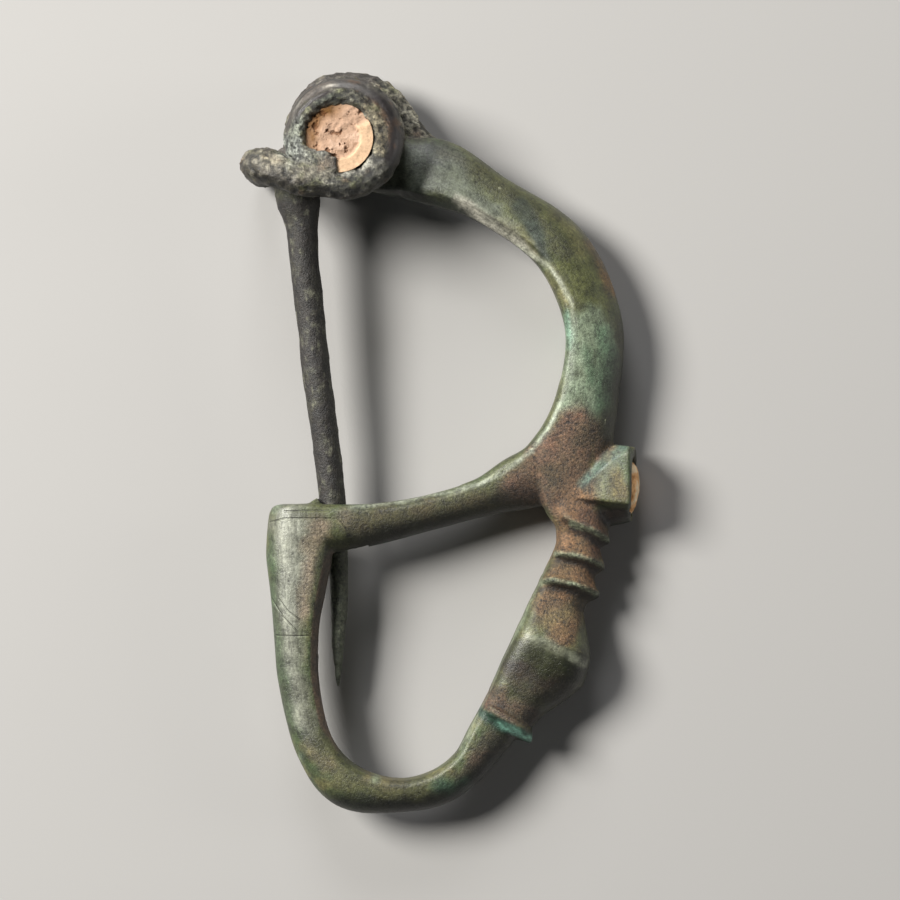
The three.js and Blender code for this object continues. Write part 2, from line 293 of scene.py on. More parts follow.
BOW = [
    (-7.2, 22.9, -0.9, 1.5, 1.1, 0.3, 0),
    (-5.4, 22.75, -0.6, 2.0, 1.4, 0.4, -0.2),
    (-3.6, 22.9, -0.4, 2.5, 1.8, 0.6, -0.5),
    (-0.8, 22.4, 0, 2.7, 2.2, 0.8, -0.6),
    (3.2, 20.4, 0, 2.1, 2.4, 0.9, -0.6),
    (9.0, 16.25, 0, 2.3, 2.9, 0.75, -0.6),
    (11.65, 10.1, 0, 2.35, 3.0, 0.42, -0.55),
    (11.15, 4.1, 0, 2.5, 2.8, 0.35, -0.5),
    (10.15, -0.5, 0, 3.05, 2.5, 0.35, -0.4),
    (10.35, -4.0, 0, 2.85, 2.2, 0.3, -0.2),
    (10.9, -6.2, 0, 1.9, 2.1, 0.3, 0),
]
WEB = [
    (11.0, 5.0, 0, 2.1, 2.4, 0.35, -0.5),
    (9.9, 1.6, 0, 2.25, 2.4, 0.4, -0.5),
    (7.6, -1.2, 0, 2.05, 2.2, 0.42, -0.5),
    (4.15, -3.1, 0, 1.35, 2.0, 0.42, -0.5),
    (1.5, -4.1, 0, 1.3, 1.8, 0.42, -0.5),
]
ARM = [
    (9.6, -1.4, 0, 2.6, 2.2, 0.4, -0.3),
    (5.7, -2.6, 0, 2.25, 2.2, 0.42, -0.6),
    (2.4, -3.9, 0, 1.55, 2.0, 0.45, -0.65),
    (-1.6, -5.05, 0, 1.45, 1.9, 0.5, -0.65),
    (-5.7, -5.95, 0.1, 1.65, 1.9, 0.55, -0.6),
    (-9.6, -6.4, 0.3, 2.0, 1.9, 0.4, -0.3),
    (-12.0, -6.5, 0.3, 2.0, 1.85, 0.4, 0),
]
CATCH_AND_FOOT = [
    (-12.2, -4.37, 0, 1.45, 1.8, 0.4, 0),
    (-12.2, -4.52, 0, 2.0, 2.05, 0.4, 0),
    (-12.2, -4.9, 0, 2.35, 2.15, 0.5, 0),
    (-12.2, -5.4, 0, 2.5, 2.2, 0.5, 0),
    (-12.2, -8.5, 0, 2.7, 2.2, 0.6, 0),
    (-12.3, -10.9, 0, 2.35, 2.1, 0.6, 0),
    (-12.42, -13.65, 0, 1.95, 2.0, 0.55, 0.05),
    (-12.42, -16.0, 0, 1.78, 1.9, 0.55, 0.1),
    (-12.3, -18.5, 0, 1.65, 1.8, 0.5, 0.2),
    (-10.9, -24.2, 0, 1.55, 1.8, 0.45, 0.3),
    (-8.4, -27.2, 0, 1.8, 1.9, 0.4, 0.4),
    (-4.1, -28.0, 0, 1.35, 1.8, 0.4, 0.55),
    (-0.8, -27.3, 0, 1.45, 1.8, 0.42, 0.6),
    (1.5, -25.6, 0, 1.5, 1.9, 0.45, 0.6),
    (3.1, -23.3, 0, 1.75, 2.0, 0.45, 0.5),
    (4.7, -21.0, 0, 2.0, 2.0, 0.4, 0.4),
]
# Sections of the foot's head: inner x, y, outer x, y, half depth
FOOT_HEAD = [
    (1.9, -22.3, 4.7, -24.1, 1.9),
    (2.3, -21.7, 5.0, -23.4, 1.9),
    (2.45, -21.5, 6.0, -23.6, 2.3),
    (2.5, -21.4, 6.5, -23.8, 2.65),
    (2.6, -21.2, 6.6, -23.5, 2.8),
    (2.65, -20.9, 6.6, -23.0, 2.7),
    (2.8, -20.6, 6.55, -22.6, 2.2),
    (3.1, -19.7, 7.4, -21.6, 2.3),
    (3.6, -18.5, 9.3, -20.4, 2.55),
    (4.15, -17.2, 10.75, -19.2, 2.8),
    (4.7, -16.1, 11.2, -18.0, 3.0),
    (5.15, -15.1, 11.35, -17.1, 3.1),
    (5.4, -14.5, 11.35, -16.5, 3.0),
    (5.8, -13.7, 11.15, -15.4, 2.6),
    (6.2, -12.8, 10.95, -14.2, 2.25),
    (6.6, -12.0, 10.8, -13.2, 2.0),
    (6.95, -11.3, 11.05, -12.5, 1.9),
    (7.1, -11.0, 11.4, -12.25, 2.0),
    (7.15, -10.9, 12.05, -11.95, 2.8),
    (7.25, -10.65, 12.15, -11.75, 2.85),
    (7.45, -10.3, 11.85, -11.3, 2.5),
    (7.75, -9.6, 11.7, -10.6, 2.15),
    (8.0, -9.1, 11.85, -10.15, 1.95),
    (8.1, -8.9, 12.2, -9.9, 2.1),
    (8.2, -8.75, 12.55, -9.7, 2.8),
    (8.3, -8.5, 12.5, -9.4, 2.8),
    (8.45, -8.1, 12.35, -8.9, 2.45),
    (8.6, -7.5, 12.2, -8.35, 2.15),
    (8.6, -6.7, 12.15, -8.0, 2.0),
    (8.55, -6.1, 12.5, -7.8, 2.15),
    (8.45, -5.7, 12.95, -7.6, 2.85),
    (8.4, -5.4, 12.9, -7.3, 2.8),
    (8.3, -4.9, 12.8, -6.5, 2.5),
    (8.2, -4.3, 12.75, -5.4, 2.2),
]


def slab(outline, back, front):
    """Solid with an outline in the brooch's plane, between two heights."""
    return tube(np.array([[(x, y, z) for x, y in outline] for z in (back, front)], float))


def gutter_floor():
    """Solid that clears the space behind the catch's near wall, open to the back."""
    return slab(GUTTER, BEHIND_Z, NEAR_WALL_Z)


def gutter_undercut():
    """Solid that clears the rounded channel under the catch's left lip."""
    middle, half = (NEAR_WALL_Z + LIP_Z) / 2, (NEAR_WALL_Z - LIP_Z) / 2
    line = [(-12.6, GUTTER_TOP_Y, 1.2), (-12.7, -13.5, 1.0), (-12.3, -16.0, 0.5)]
    return swept([(x, y, middle, width, half) for x, y, width in line], 40, (3, 3))


def foot_head():
    """The foot's head with its collar, belly and ridges, whose near sides arch towards the bow."""
    rings = []
    rows = np.asarray(FOOT_HEAD, float)
    halves = [a + (b - a) * t for a, b in zip(rows[:-1], rows[1:]) for t in (0, 0.5)]
    rows = np.vstack(halves + [rows[-1:]])
    for ix, iy, ox, oy, deep in rows:
        inner, outer = np.array([ix, iy, 0]), np.array([ox, oy, 0])
        side = inner - outer
        half = np.linalg.norm(side) / 2
        bevel = (1, HEAD_BEVEL_WIDTH, HEAD_BEVEL_ANGLE)
        u, v = section(half * (1 - FOOT_CREST), half * (1 + FOOT_CREST), deep, deep, (4.0, 2.4), bevel)
        u = u + FOOT_CREST * half
        unit = side / (2 * half)
        arch = np.outer(RIDGE_ARCH * np.abs(v), [unit[1], -unit[0], 0])
        rings.append((inner + outer) / 2 + np.outer(u, unit) + np.outer(v, [0, 0, 1]) + arch)
    return tube(np.array(rings))


def on_disc(profile, drop=0.0):
    """Turned solid on the disc cup's axis from (radius, height) pairs, heights out from its rim. It can
    sit off the axis by a drop towards the foot."""
    first = np.cross(DISC_AXIS, [0, 0, 1])
    first /= np.linalg.norm(first)
    second = np.cross(DISC_AXIS, first)
    turn = np.linspace(0, 2 * np.pi, DISC_POINTS, endpoint=False)[:, None]
    wheel = np.cos(turn) * first + np.sin(turn) * second
    centre = DISC_CENTRE - np.array([0, drop, 0])
    return tube(np.array([centre + DISC_AXIS * h + wheel * max(r, 1e-4) for r, h in profile]))


def disc_stem():
    """Round core of the neck, from the foot's head to the cup."""
    return swept(DISC_STEM, 40, (2.2, 2.2))


DISC_STEM = [
    (9.5, -2.9, 0.1, 3.0, 1.9),
    (12.4, -2.9, 0.2, 3.4, 1.9),
    (13.5, -2.9, 0.3, 3.15, 2.1),
    (14.5, -2.7, 0.3, 2.95, 2.5),
]
# Sections of the faceted neck under the disc cup: x, top, the near face's top and bottom, its height
FLARE = [
    (9.6, -3.3, -3.55, -3.75, 1.8),
    (10.5, -2.75, -3.2, -3.75, 2.04),
    (11.2, -2.0, -2.65, -3.85, 2.23),
    (12.2, -0.9, -1.65, -3.95, 2.5),
    (13.3, 0.2, -0.65, -4.1, 2.8),
    (14.3, 0.1, -0.3, -4.2, 3.07),
]
FLARE_MIDDLE_Z = 0.3
FLARE_ROUNDING = 0.22


def disc_flare():
    """Neck that spreads to the cup: a flat face near and far, with a chamfer along its upper edge."""
    rings = []
    for x, top, near_top, near_bottom, height in FLARE:
        chamfer = height - 0.8 * (top - near_top)
        half = [(top, chamfer), (near_top, height), (near_bottom, height)]
        half += [(near_bottom - 0.35, height - 0.6)]
        outline = half + [(y, 2 * FLARE_MIDDLE_Z - z) for y, z in reversed(half)]
        rings.append([(x, y, z) for y, z in reversed(outline)])
    return tube(np.array(rings, float))


def turns(start, end, start_z):
    """Stations round the spring's axis between two angles in turns, going away from a height."""
    steps = round((end - start) * COIL_STEPS)
    rows = []
    for turn in np.linspace(0, end - start, steps + 1):
        centre = coil_centre(start_z - COIL_PITCH * turn)
        angle = (start + turn) * 2 * math.pi
        x = centre[0] + COIL_RADIUS * math.cos(angle)
        y = centre[1] + COIL_RADIUS * math.sin(angle)
        rows.append((x, y, centre[2], WIRE_RADIUS, WIRE_RADIUS))
    return rows


# The rest of the wire: x, y, z and radius. It rises from the bow, crosses behind and ends in the pin
RISE = [
    (-0.4, 22.8, -0.5, 1.5),
    (-1.7, 23.95, -0.8, 1.3),
    (-2.85, 25.4, -1.0, 1.15),
    (-3.8, 26.85, -1.2, 1.1),
    (-5.0, 28.45, -1.4, 1.1),
    (-6.5, 29.4, -1.5, 1.1),
]
CHORD = [
    (-12.4, 25.0, -4.48, 1.1),
    (-13.3, 23.8, -4.48, 1.1),
    (-14.4, 23.1, -4.38, 1.15),
    (-15.3, 22.8, -3.78, 1.2),
    (-15.6, 22.8, -2.68, 1.15),
    (-15.6, 22.8, 0, 1.1),
    (-15.6, 22.8, 3.2, 1.15),
    (-15.4, 22.8, 4.3, 1.3),
    (-14.7, 22.6, 5.1, 1.4),
    (-13.3, 22.1, 5.2, 1.35),
    (-11.7, 21.5, 5.2, 1.25),
]
PIN = [
    (-12.4, 23.0, 0.75, 1.3),
    (-12.4, 21.2, 0.75, 1.75),
    (-12.2, 19.8, 0.7, 1.7),
    (-12.0, 18.4, 0.7, 1.35),
    (-11.8, 15.4, 0.6, 1.2),
    (-11.3, 11.0, 0.4, 1.15),
    (-10.8, 6.0, 0.2, 1.15),
    (-10.1, 1.0, -0.1, 1.12),
    (-9.55, -4.0, -0.5, 1.08),
    (-9.15, -8.6, -0.8, 0.85),
    (-9.0, -12.2, -0.9, 0.7),
    (-9.1, -15.4, -0.9, 0.55),
    (-9.1, -17.8, -0.9, 0.3),
    (-9.1, -19.3, -0.9, 0.1),
]


def wire_rows():
    """Stations of the whole wire, from the bow to the pin's point, and how many come before the pin."""
    near = turns(0.71, 2.5, NEAR_END_Z)
    far = [(x, y + FAR_RAISE, z, r, r) for x, y, z, r, _ in turns(0.25, 1.45, FAR_START_Z)]
    spring = [row + (row[3],) for row in RISE] + far + [row + (row[3],) for row in CHORD] + near
    return spring + [row + (row[3],) for row in PIN], len(spring)


def wire():
    """The whole wire as one swept body."""
    rows, _ = wire_rows()
    return swept(rows, len(rows) * 4, (2, 2))


# ---------------------------------------------------------------- one solid from the bodies

LOW = np.array([-18.2, -31.2, -7.0])
HIGH = np.array([17.6, 31.6, 7.6])
SHAPE = tuple(np.ceil((HIGH - LOW) / VOXEL).astype(int))
BAND = BAND_VOXELS * VOXEL


def field_of(mesh):
    """Signed distance of a closed mesh on the common grid, cut off at the band's width."""
    points, triangles, quads = mesh
    grid = vdb.FloatGrid.createLevelSetFromPolygons(
        ((points - LOW) / VOXEL).astype(np.float32),
        triangles=triangles.astype(np.uint32),
        quads=quads.astype(np.uint32),
        transform=vdb.createLinearTransform(1.0),
        halfWidth=BAND_VOXELS,
    )
    field = np.full(SHAPE, BAND_VOXELS, np.float32)
    grid.copyToArray(field, ijk=(0, 0, 0))
    return field * np.float32(VOXEL)


def blended(a, b, radius):
    """Union of two fields with a fillet."""
    mix = np.clip(0.5 + 0.5 * (b - a) / radius, 0, 1)
    return b + (a - b) * mix - radius * mix * (1 - mix)


def mesh_of(field):
    """Points and faces of a field's surface."""
    grid = vdb.FloatGrid(float(BAND))
    grid.copyFromArray(field, ijk=(0, 0, 0))
    points, triangles, quads = grid.convertToPolygons(0.0, 0.0)
    return points * VOXEL + LOW, triangles, quads


def about_eye(radius, turn, z):
    """A place about the fill's centre: radius in mm and angle in degrees, anticlockwise from x."""
    angle = math.radians(turn)
    return (EYE[0] + radius * math.cos(angle), EYE[1] + radius * math.sin(angle), z)


def eye_ring():
    """Crust that closes the spring's nearest turn onto the fill."""
    stations = [(*about_eye(EYE_RADIUS + 0.62, turn, 4.9), 0.62, 0.75) for turn in range(0, 361, 15)]
    return swept(stations, 120, (2, 2))


def coil_groove():
    """Groove between the crust round the fill and the spring's bare nearest turn."""
    stations = []
    for turn in range(96, 163, 6):
        part = math.sin(math.pi * (turn - 93) / 72)
        stations.append((*about_eye(3.85 - 0.3 * (turn - 96) / 66, turn, 5.75), 0.08 + 0.24 * part, 0.55))
    return swept(stations, 90, (2, 2))


def corner_hole():
    """Small hole at the corner of the crust, where the fill has broken away."""
    return swept([(-9.22, 23.5, 4.6, 0.16, 0.2), (-9.26, 23.55, 6.5, 0.3, 0.24)], 12, (2, 2))


def crust_lump():
    """Mineral crust that fills the lower left of the spring's eye, up to the broken edge of the fill."""
    return slab(CRUST_LUMP, *CRUST_LUMP_Z)


def catch_crumb():
    """Crumb of corrosion where the pin goes behind the catch."""
    stations = [
        (-11.6, -4.7, 0.3, 0.15, 0.5),
        (-11.0, -4.35, 0.3, 0.28, 0.6),
        (-10.6, -4.15, 0.3, 0.32, 0.6),
    ]
    return swept(stations, 12, (2, 2))


def brooch_field():
    """Signed distance of the whole brooch."""
    right, left = (-1, BEVEL_ANGLE), (1, BEVEL_ANGLE)
    field = field_of(swept(BOW, 160, (2.1, 6), right))
    field = blended(field, field_of(swept(WEB, 90, (2.3, 5), right)), 0.25)
    field = blended(field, field_of(swept(ARM, 110, (2.3, 4.5), right)), 0.3)
    field = blended(field, field_of(swept(CATCH_AND_FOOT, 200, (4, 2.3), left)), 0.3)
    cleared = np.minimum(field_of(gutter_floor()), field_of(gutter_undercut()))
    field = np.maximum(field, -cleared)
    field = blended(field, field_of(catch_crumb()), 0.3)
    field = blended(field, field_of(foot_head()), 0.25)
    worn_edge = [(DISC_RADIUS - 0.1, -0.7), (DISC_RADIUS, -0.1), (DISC_RADIUS - 0.1, 0)]
    rim = on_disc([(0, -1.7), (2.5, -1.5), *worn_edge, (0, 0)])
    cup = blended(field_of(disc_stem()), field_of(rim), 0.3)
    cup = blended(cup, field_of(disc_flare()) - FLARE_ROUNDING, 0.25)
    field = blended(field, cup, 0.3)
    recess = on_disc([(0, -CUP_DEPTH), (CUP_RADIUS, -CUP_DEPTH), (CUP_RADIUS, 1), (0, 1)], drop=CUP_DROP)
    field = np.maximum(field, -field_of(recess))
    spring = blended(field_of(wire()), field_of(eye_ring()), 0.35)
    spring = np.maximum(spring, -field_of(coil_groove()))
    field = blended(field, spring, 0.2)
    field = blended(field, field_of(crust_lump()), 0.35)
    return np.maximum(field, -field_of(corner_hole()))


def laid(points):
    """Points from the brooch's plane to the row frame, in metres."""
    matrix = np.array(LIE)
    return np.asarray(points) @ matrix[:3, :3].T + matrix[:3, 3]


def drawn(points):
    """Points from the row frame back to the brooch's plane, in mm."""
    matrix = np.array(LIE.inverted())
    return np.asarray(points) @ matrix[:3, :3].T + matrix[:3, 3]


def mesh_object(name, shape):
    """Blender object from a mesh in the brooch's plane, laid the way that the brooch lies."""
    points, triangles, quads = shape
    mesh = bpy.data.meshes.new(name)
    mesh.from_pydata(laid(points).tolist(), [], quads.tolist() + triangles.tolist())
    mesh.validate()
    mesh.shade_smooth()
    thing = bpy.data.objects.new(name, mesh)
    bpy.context.scene.collection.objects.link(thing)
    return thing


def rows_of(items, key, width, kind=float):
    """One row of numbers for each item of a mesh."""
    flat = np.empty(len(items) * width, kind)
    items.foreach_get(key, flat)
    return flat.reshape(-1, width)


def places(mesh):
    """A mesh's vertices, in the row frame."""
    return rows_of(mesh.vertices, "co", 3)


def place(mesh, points):
    """Moves a mesh's vertices to places in the row frame."""
    mesh.vertices.foreach_set("co", np.asarray(points, float).ravel())
    mesh.update()


def outward(mesh):
    """Vertex normals, in the row frame."""
    return rows_of(mesh.vertex_normals, "vector", 3)


def averaged(values, edges, rounds):
    """Values at vertices, evened out with their neighbours'."""
    count = np.bincount(edges.ravel(), minlength=len(values)).astype(float)
    for _ in range(rounds):
        total = np.zeros_like(values)
        np.add.at(total, edges[:, 0], values[edges[:, 1]])
        np.add.at(total, edges[:, 1], values[edges[:, 0]])
        values = 0.5 * values + 0.5 * (total.T / count).T
    return values


def thinned(thing, most):
    """Collapses the shortest and flattest faces until no more than `most` triangles are left."""
    mesh = thing.data
    mesh.calc_loop_triangles()
    count = len(mesh.loop_triangles)
    if count <= most:
        return
    modifier = thing.modifiers.new("thin", "DECIMATE")
    modifier.ratio = most / count
    graph = bpy.context.evaluated_depsgraph_get()
    lighter = bpy.data.meshes.new_from_object(thing.evaluated_get(graph))
    thing.modifiers.clear()
    thing.data = lighter
    bpy.data.meshes.remove(mesh)
    lighter.name = thing.name
    lighter.shade_smooth()


def number(mesh, name, values):
    """Keeps one number for each vertex, for the material."""
    layer = mesh.attributes.new(name, "FLOAT", "POINT")
    layer.data.foreach_set("value", np.clip(values, 0, 1).astype(np.float32))


def colour(mesh, name, values):
    """Keeps one colour for each vertex, for the material."""
    layer = mesh.attributes.new(name, "FLOAT_COLOR", "POINT")
    whole = np.hstack([np.clip(values, 0, 1), np.ones((len(values), 1))])
    layer.data.foreach_set("color", whole.astype(np.float32).ravel())


def vectors(mesh, name, values):
    """Keeps three numbers for each vertex, for the material."""
    layer = mesh.attributes.new(name, "FLOAT_VECTOR", "POINT")
    layer.data.foreach_set("vector", np.asarray(values, np.float32).ravel())


# ---------------------------------------------------------------- zones of the surface


def line_distance(points, line):
    """Distance in the brooch's plane from a stroke of (x, y, radius), less its radius."""
    flat = points[:, :2]
    line = np.asarray(line, float)
    nearest = np.full(len(points), 1e9)
    starts, ends = (line, line) if len(line) == 1 else (line[:-1], line[1:])
    for a, b in zip(starts, ends):
        step = b[:2] - a[:2]
        part = np.clip((flat - a[:2]) @ step / max(step @ step, 1e-9), 0, 1)
        away = np.linalg.norm(flat - a[:2] - part[:, None] * step, axis=1)
        nearest = np.minimum(nearest, away - a[2] - part * (b[2] - a[2]))
    return nearest


def stroke(points, line, soft):
    """1 inside a stroke and 0 past its soft edge."""
    return 1 - ramp(line_distance(points, line), -soft / 2, soft / 2)


def srgb(red, green, blue):
    """Linear colour from 0 to 255 screen values."""
    c = np.array([red, green, blue]) / 255
    return np.where(c <= 0.04045, c / 12.92, ((c + 0.055) / 1.055) ** 2.4)


def layer(tone, amount, over):
    """Lays a colour over the tones so far."""
    return tone + (over - tone) * np.clip(amount, 0, 1)[:, None]


def polar_about_eye(points):
    """Distance from the fill's axis in mm and angle round it in degrees, anticlockwise from x."""
    away = points[:, :2] - EYE
    return np.hypot(away[:, 0], away[:, 1]), np.degrees(np.arctan2(away[:, 1], away[:, 0])) % 360


def arc(points, radius, turns, soft, width):
    """1 along an arc about the eye: radius, (first, last) angle and half width."""
    far, angle = polar_about_eye(points)
    middle, half = (turns[0] + turns[1]) / 2, (turns[1] - turns[0]) / 2
    off = np.abs((angle - middle + 180) % 360 - 180) - half
    return (1 - ramp(np.abs(far - radius), width - soft / 2, width + soft / 2)) * (1 - ramp(off, -6, 6))


def tree_of(spots):
    """Finder of the nearest of some places."""
    tree = kdtree.KDTree(len(spots))
    for i, spot in enumerate(spots):
        tree.insert(spot, i)
    tree.balance()
    return tree


def wire_zones(points):
    """1 on the spring, and 1 on the pin, fading just outside the wire."""
    rows, before = wire_rows()
    line = curve_at(np.asarray(rows, float), np.linspace(0, len(rows) - 1, 8 * len(rows)))
    tree = tree_of(line[:, :3])
    away = np.full(len(points), 9.0)
    part = np.zeros(len(points))
    for i in np.flatnonzero((points[:, 0] < -6) | (points[:, 1] > 20)):
        _, row, distance = tree.find(points[i])
        away[i] = distance - line[row, 3]
        part[i] = row / 8
    on = 1 - ramp(away, 0.1, 0.4)
    pin = on * ramp(part, before + 1.6, before + 2.6)
    return on - pin, pin


def flow_of(points, spring):
    """Places along and across the nearest limb in mm, shortened along it, for streaks that follow it.
    Round the spring they follow its turns, and over the belly they go across."""
    head = np.asarray(FOOT_HEAD, float)
    neck = np.stack([(head[:, 0] + head[:, 2]) / 2, (head[:, 1] + head[:, 3]) / 2, 0 * head[:, 0]], 1)
    spots, reach = [], 0.0
    for line in (BOW, ARM, CATCH_AND_FOOT, neck):
        line = np.asarray(line, float)[:, :3] * (1, 1, 0)
        fine = curve_at(line, np.linspace(0, len(line) - 1, 160))
        along = np.gradient(fine, axis=0)
        pace = np.linalg.norm(along, axis=1)
        run = (reach + np.cumsum(pace))[:, None]
        spots.append(np.hstack([fine[:, :2], along[:, :2] / pace[:, None], run]))
        reach += 100
    spots = np.vstack(spots)
    tree = tree_of(spots[:, :2] @ np.eye(2, 3))
    near = np.array([tree.find((x, y, 0))[1] for x, y, _ in points])
    away = points[:, :2] - spots[near, :2]
    way = spots[near, 2:4]
    along = spots[near, 4] + np.einsum("ij,ij->i", away, way)
    across = away[:, 0] * -way[:, 1] + away[:, 1] * way[:, 0]
    flow = np.stack([along * 0.16, across, points[:, 2]], 1)
    belly = stroke(points, BELLY, 0.5) > 0.5
    flow[belly] = np.stack([along, across * 0.12, points[:, 2] * 0.3], 1)[belly]
    far, angle = polar_about_eye(points)
    round_spring = np.stack([np.radians(angle) * 0.6, far, points[:, 2]], 1)
    return np.where(spring[:, None] > 0.5, round_spring, flow)


# Patches of patina and of painted shade, laid in order: colour, strength, ragged edge in mm, grain and
# strokes of (x, y, radius)
PATCHES = [
    # bow
    ((104, 110, 98), 0.9, 1.4, 0.15, [
        [(-4.02, 22.54, 2.41), (-0.8, 22.94, 2.09), (2.41, 20.93, 1.77), (4.43, 18.91, 1.13)],
    ]),
    ((84, 88, 48), 0.9, 1.6, 0.25, [
        [(2.41, 22.94, 1.13), (5.63, 20.12, 1.61), (9.66, 16.5, 2.09), (11.43, 12.88, 2.09)],
    ]),
    ((52, 48, 28), 0.6, 1.2, 0.4, [
        [(-0.8, 24.15, 0.64), (2.41, 22.37, 0.64), (6.44, 19.16, 0.64), (9.66, 15.69, 0.56)],
    ]),
    ((122, 116, 78), 0.5, 1.5, 0.25, [
        [(8.85, 18.91, 0.64), (10.87, 16.1, 0.64)],
        [(4.02, 18.35, 0.64), (7.24, 15.13, 0.64), (9.01, 12.07, 0.48)],
    ]),
    ((56, 64, 54), 0.95, 0.8, 0.15, [[(5.63, 19.72, 0.64), (6.76, 17.55, 0.72), (7.73, 15.61, 0.4)]]),
    ((126, 88, 44), 0.75, 0.8, 0.4, [
        [(12.23, 15.13, 0.48), (13.04, 12.72, 0.4)],
        [(11.27, 16.9, 0.32), (12.07, 15.61, 0.32)],
    ]),
    ((128, 142, 118), 0.95, 1.4, 0.25, [[(11.27, 9.5, 1.93), (11.11, 6.04, 2.25), (10.62, 3.7, 1.61)]]),
    ((92, 124, 94), 0.7, 1.2, 0.35, [
        [(12.39, 9.66, 0.64), (12.56, 6.44, 0.72), (12.39, 3.62, 0.64)],
        [(10.87, 8.05, 0.48), (11.43, 5.63, 0.48)],
    ]),
    ((116, 154, 132), 0.8, 0.5, 0.4, [[(9.42, 10.95, 0.2), (9.58, 9.66, 0.28), (9.58, 8.21, 0.2)]]),
    # dark green on the bow's inner wall: green patina with painted shade
    ((28, 46, 34), 0.85, 0.6, 0.4, [
        [(-4.02, 20.36, 0.48), (0, 19.64, 0.4), (3.22, 18.27, 0.4), (5.63, 16.42, 0.32),
         (7.24, 14.49, 0.24)],
    ]),
    # web, arm and neck
    ((104, 77, 58), 1.0, 1.3, 0.9, [
        [(10.46, 1.77, 1.61), (9.34, 0, 2.09), (6.92, -2.25, 1.77), (4.43, -3.38, 0.97)],
        [(10.06, -2.41, 1.93), (9.66, -4.43, 1.77)],
        [(12.23, 0.4, 0.97)],
    ]),
    ((112, 84, 56), 1.0, 1.2, 0.9, [
        [(10.06, -4.83, 1.93), (10.46, -6.84, 2.09), (10.06, -10.06, 2.25), (8.85, -12.72, 2.09),
         (9.09, -14.49, 1.29)],
    ]),
    ((80, 56, 38), 0.9, 1.2, 0.8, [
        [(11.27, -5.63, 1.13), (12.07, -8.05, 0.8)],
        [(5.63, -3.38, 1.13), (7.89, -4.02, 0.8)],
    ]),
    ((66, 58, 34), 0.85, 1.4, 0.6, [
        [(4.02, -3.78, 0.97), (0, -4.67, 1.05), (-4.02, -5.39, 1.13), (-7.24, -5.96, 1.13)],
    ]),
    # painted shade along the arm's lower side
    ((26, 24, 14), 0.85, 1.2, 0.5, [
        [(5.63, -4.67, 0.64), (1.61, -5.55, 0.64), (-3.22, -6.36, 0.72), (-6.84, -7.4, 0.72)],
    ]),
    ((112, 104, 66), 0.6, 1.0, 0.7, [
        [(7.65, -13.84, 0.64), (9.34, -13.04, 0.56)],
        [(11.27, -14.08, 0.4), (10.62, -12.07, 0.48)],
    ]),
    ((112, 98, 62), 0.9, 0.7, 0.7, [[(11.75, -3.38, 0.48), (13.04, -2.09, 0.8), (13.52, -3.22, 0.8)]]),
    # belly and collar
    ((46, 48, 26), 1.0, 1.1, 0.25, [[(5.63, -16.5, 1.29), (7.65, -17.3, 1.61), (9.66, -17.87, 1.29)]]),
    ((96, 98, 78), 0.85, 0.7, 0.1, [[(6.44, -15.13, 0.48), (8.21, -16.1, 0.48), (10.46, -16.9, 0.48)]]),
    # painted shade below the belly, towards the collar
    ((48, 36, 20), 0.9, 1.1, 0.5, [[(4.99, -17.87, 0.97), (6.44, -19.32, 1.13), (8.85, -19.48, 0.97)]]),
    ((84, 62, 46), 1.0, 0.8, 0.8, [
        [(3.38, -20.28, 0.8), (4.99, -21.09, 0.97), (6.44, -21.41, 0.8)],
        [(3.06, -19.32, 0.64), (4.02, -19.64, 0.64)],
    ]),
    ((74, 60, 44), 0.9, 1.3, 0.8, [[(3.38, -23.5, 1.05), (1.93, -25.35, 0.72), (0.8, -26.24, 0.4)]]),
    # catch and foot loop
    ((116, 118, 104), 0.95, 1.8, 0.12, [
        [(-12.88, -5.23, 1.61), (-12.88, -8.85, 1.61), (-13.04, -15.29, 1.29), (-12.39, -20.12, 1.13),
         (-11.27, -22.94, 0.8)],
    ]),
    ((58, 80, 48), 0.8, 1.0, 0.25, [
        [(-14.41, -7.24, 0.4), (-14.33, -12.07, 0.48), (-13.84, -16.9, 0.56), (-12.88, -21.73, 0.56),
         (-11.27, -25.35, 0.56)],
    ]),
    ((124, 110, 92), 0.8, 1.3, 0.5, [
        [(-10.62, -6.28, 1.05), (-11.11, -8.85, 0.8), (-11.59, -12.88, 0.64)],
        [(-8.45, -5.47, 0.72)],
    ]),
    ((60, 76, 40), 0.7, 0.8, 0.5, [
        [(-10.3, -8.85, 0.24), (-10.95, -13.68, 0.28), (-11.11, -18.51, 0.28), (-10.3, -22.13, 0.32)],
    ]),
    ((78, 78, 46), 0.9, 1.6, 0.35, [
        [(-10.62, -23.74, 1.05), (-8.85, -26.16, 1.29), (-4.83, -27.53, 1.45), (-0.8, -27.2, 1.13)],
    ]),
    ((122, 110, 78), 0.6, 1.0, 0.4, [
        [(-11.43, -23.98, 0.48), (-10.06, -25.35, 0.48)],
        [(-6.44, -26.56, 0.48), (-4.02, -27.04, 0.4)],
    ]),
    # painted shade along the bottom of the foot loop
    ((24, 26, 15), 0.9, 1.3, 0.4, [
        [(-8.85, -28.17, 0.48), (-5.23, -28.81, 0.72), (-1.61, -28.65, 0.8), (1.61, -27.12, 0.89),
         (4.02, -25.11, 0.72)],
    ]),
    ((62, 92, 70), 0.8, 1.1, 0.4, [[(-0.8, -27.2, 0.64), (0.97, -26.88, 0.64)]]),
    ((124, 140, 116), 0.8, 0.5, 0.5, [
        [(-14.33, -4.83, 0.32), (-13.84, -4.59, 0.32)],
        [(-11.91, -24.79, 0.24)],
        [(-6.04, -26.64, 0.28)],
    ]),
]
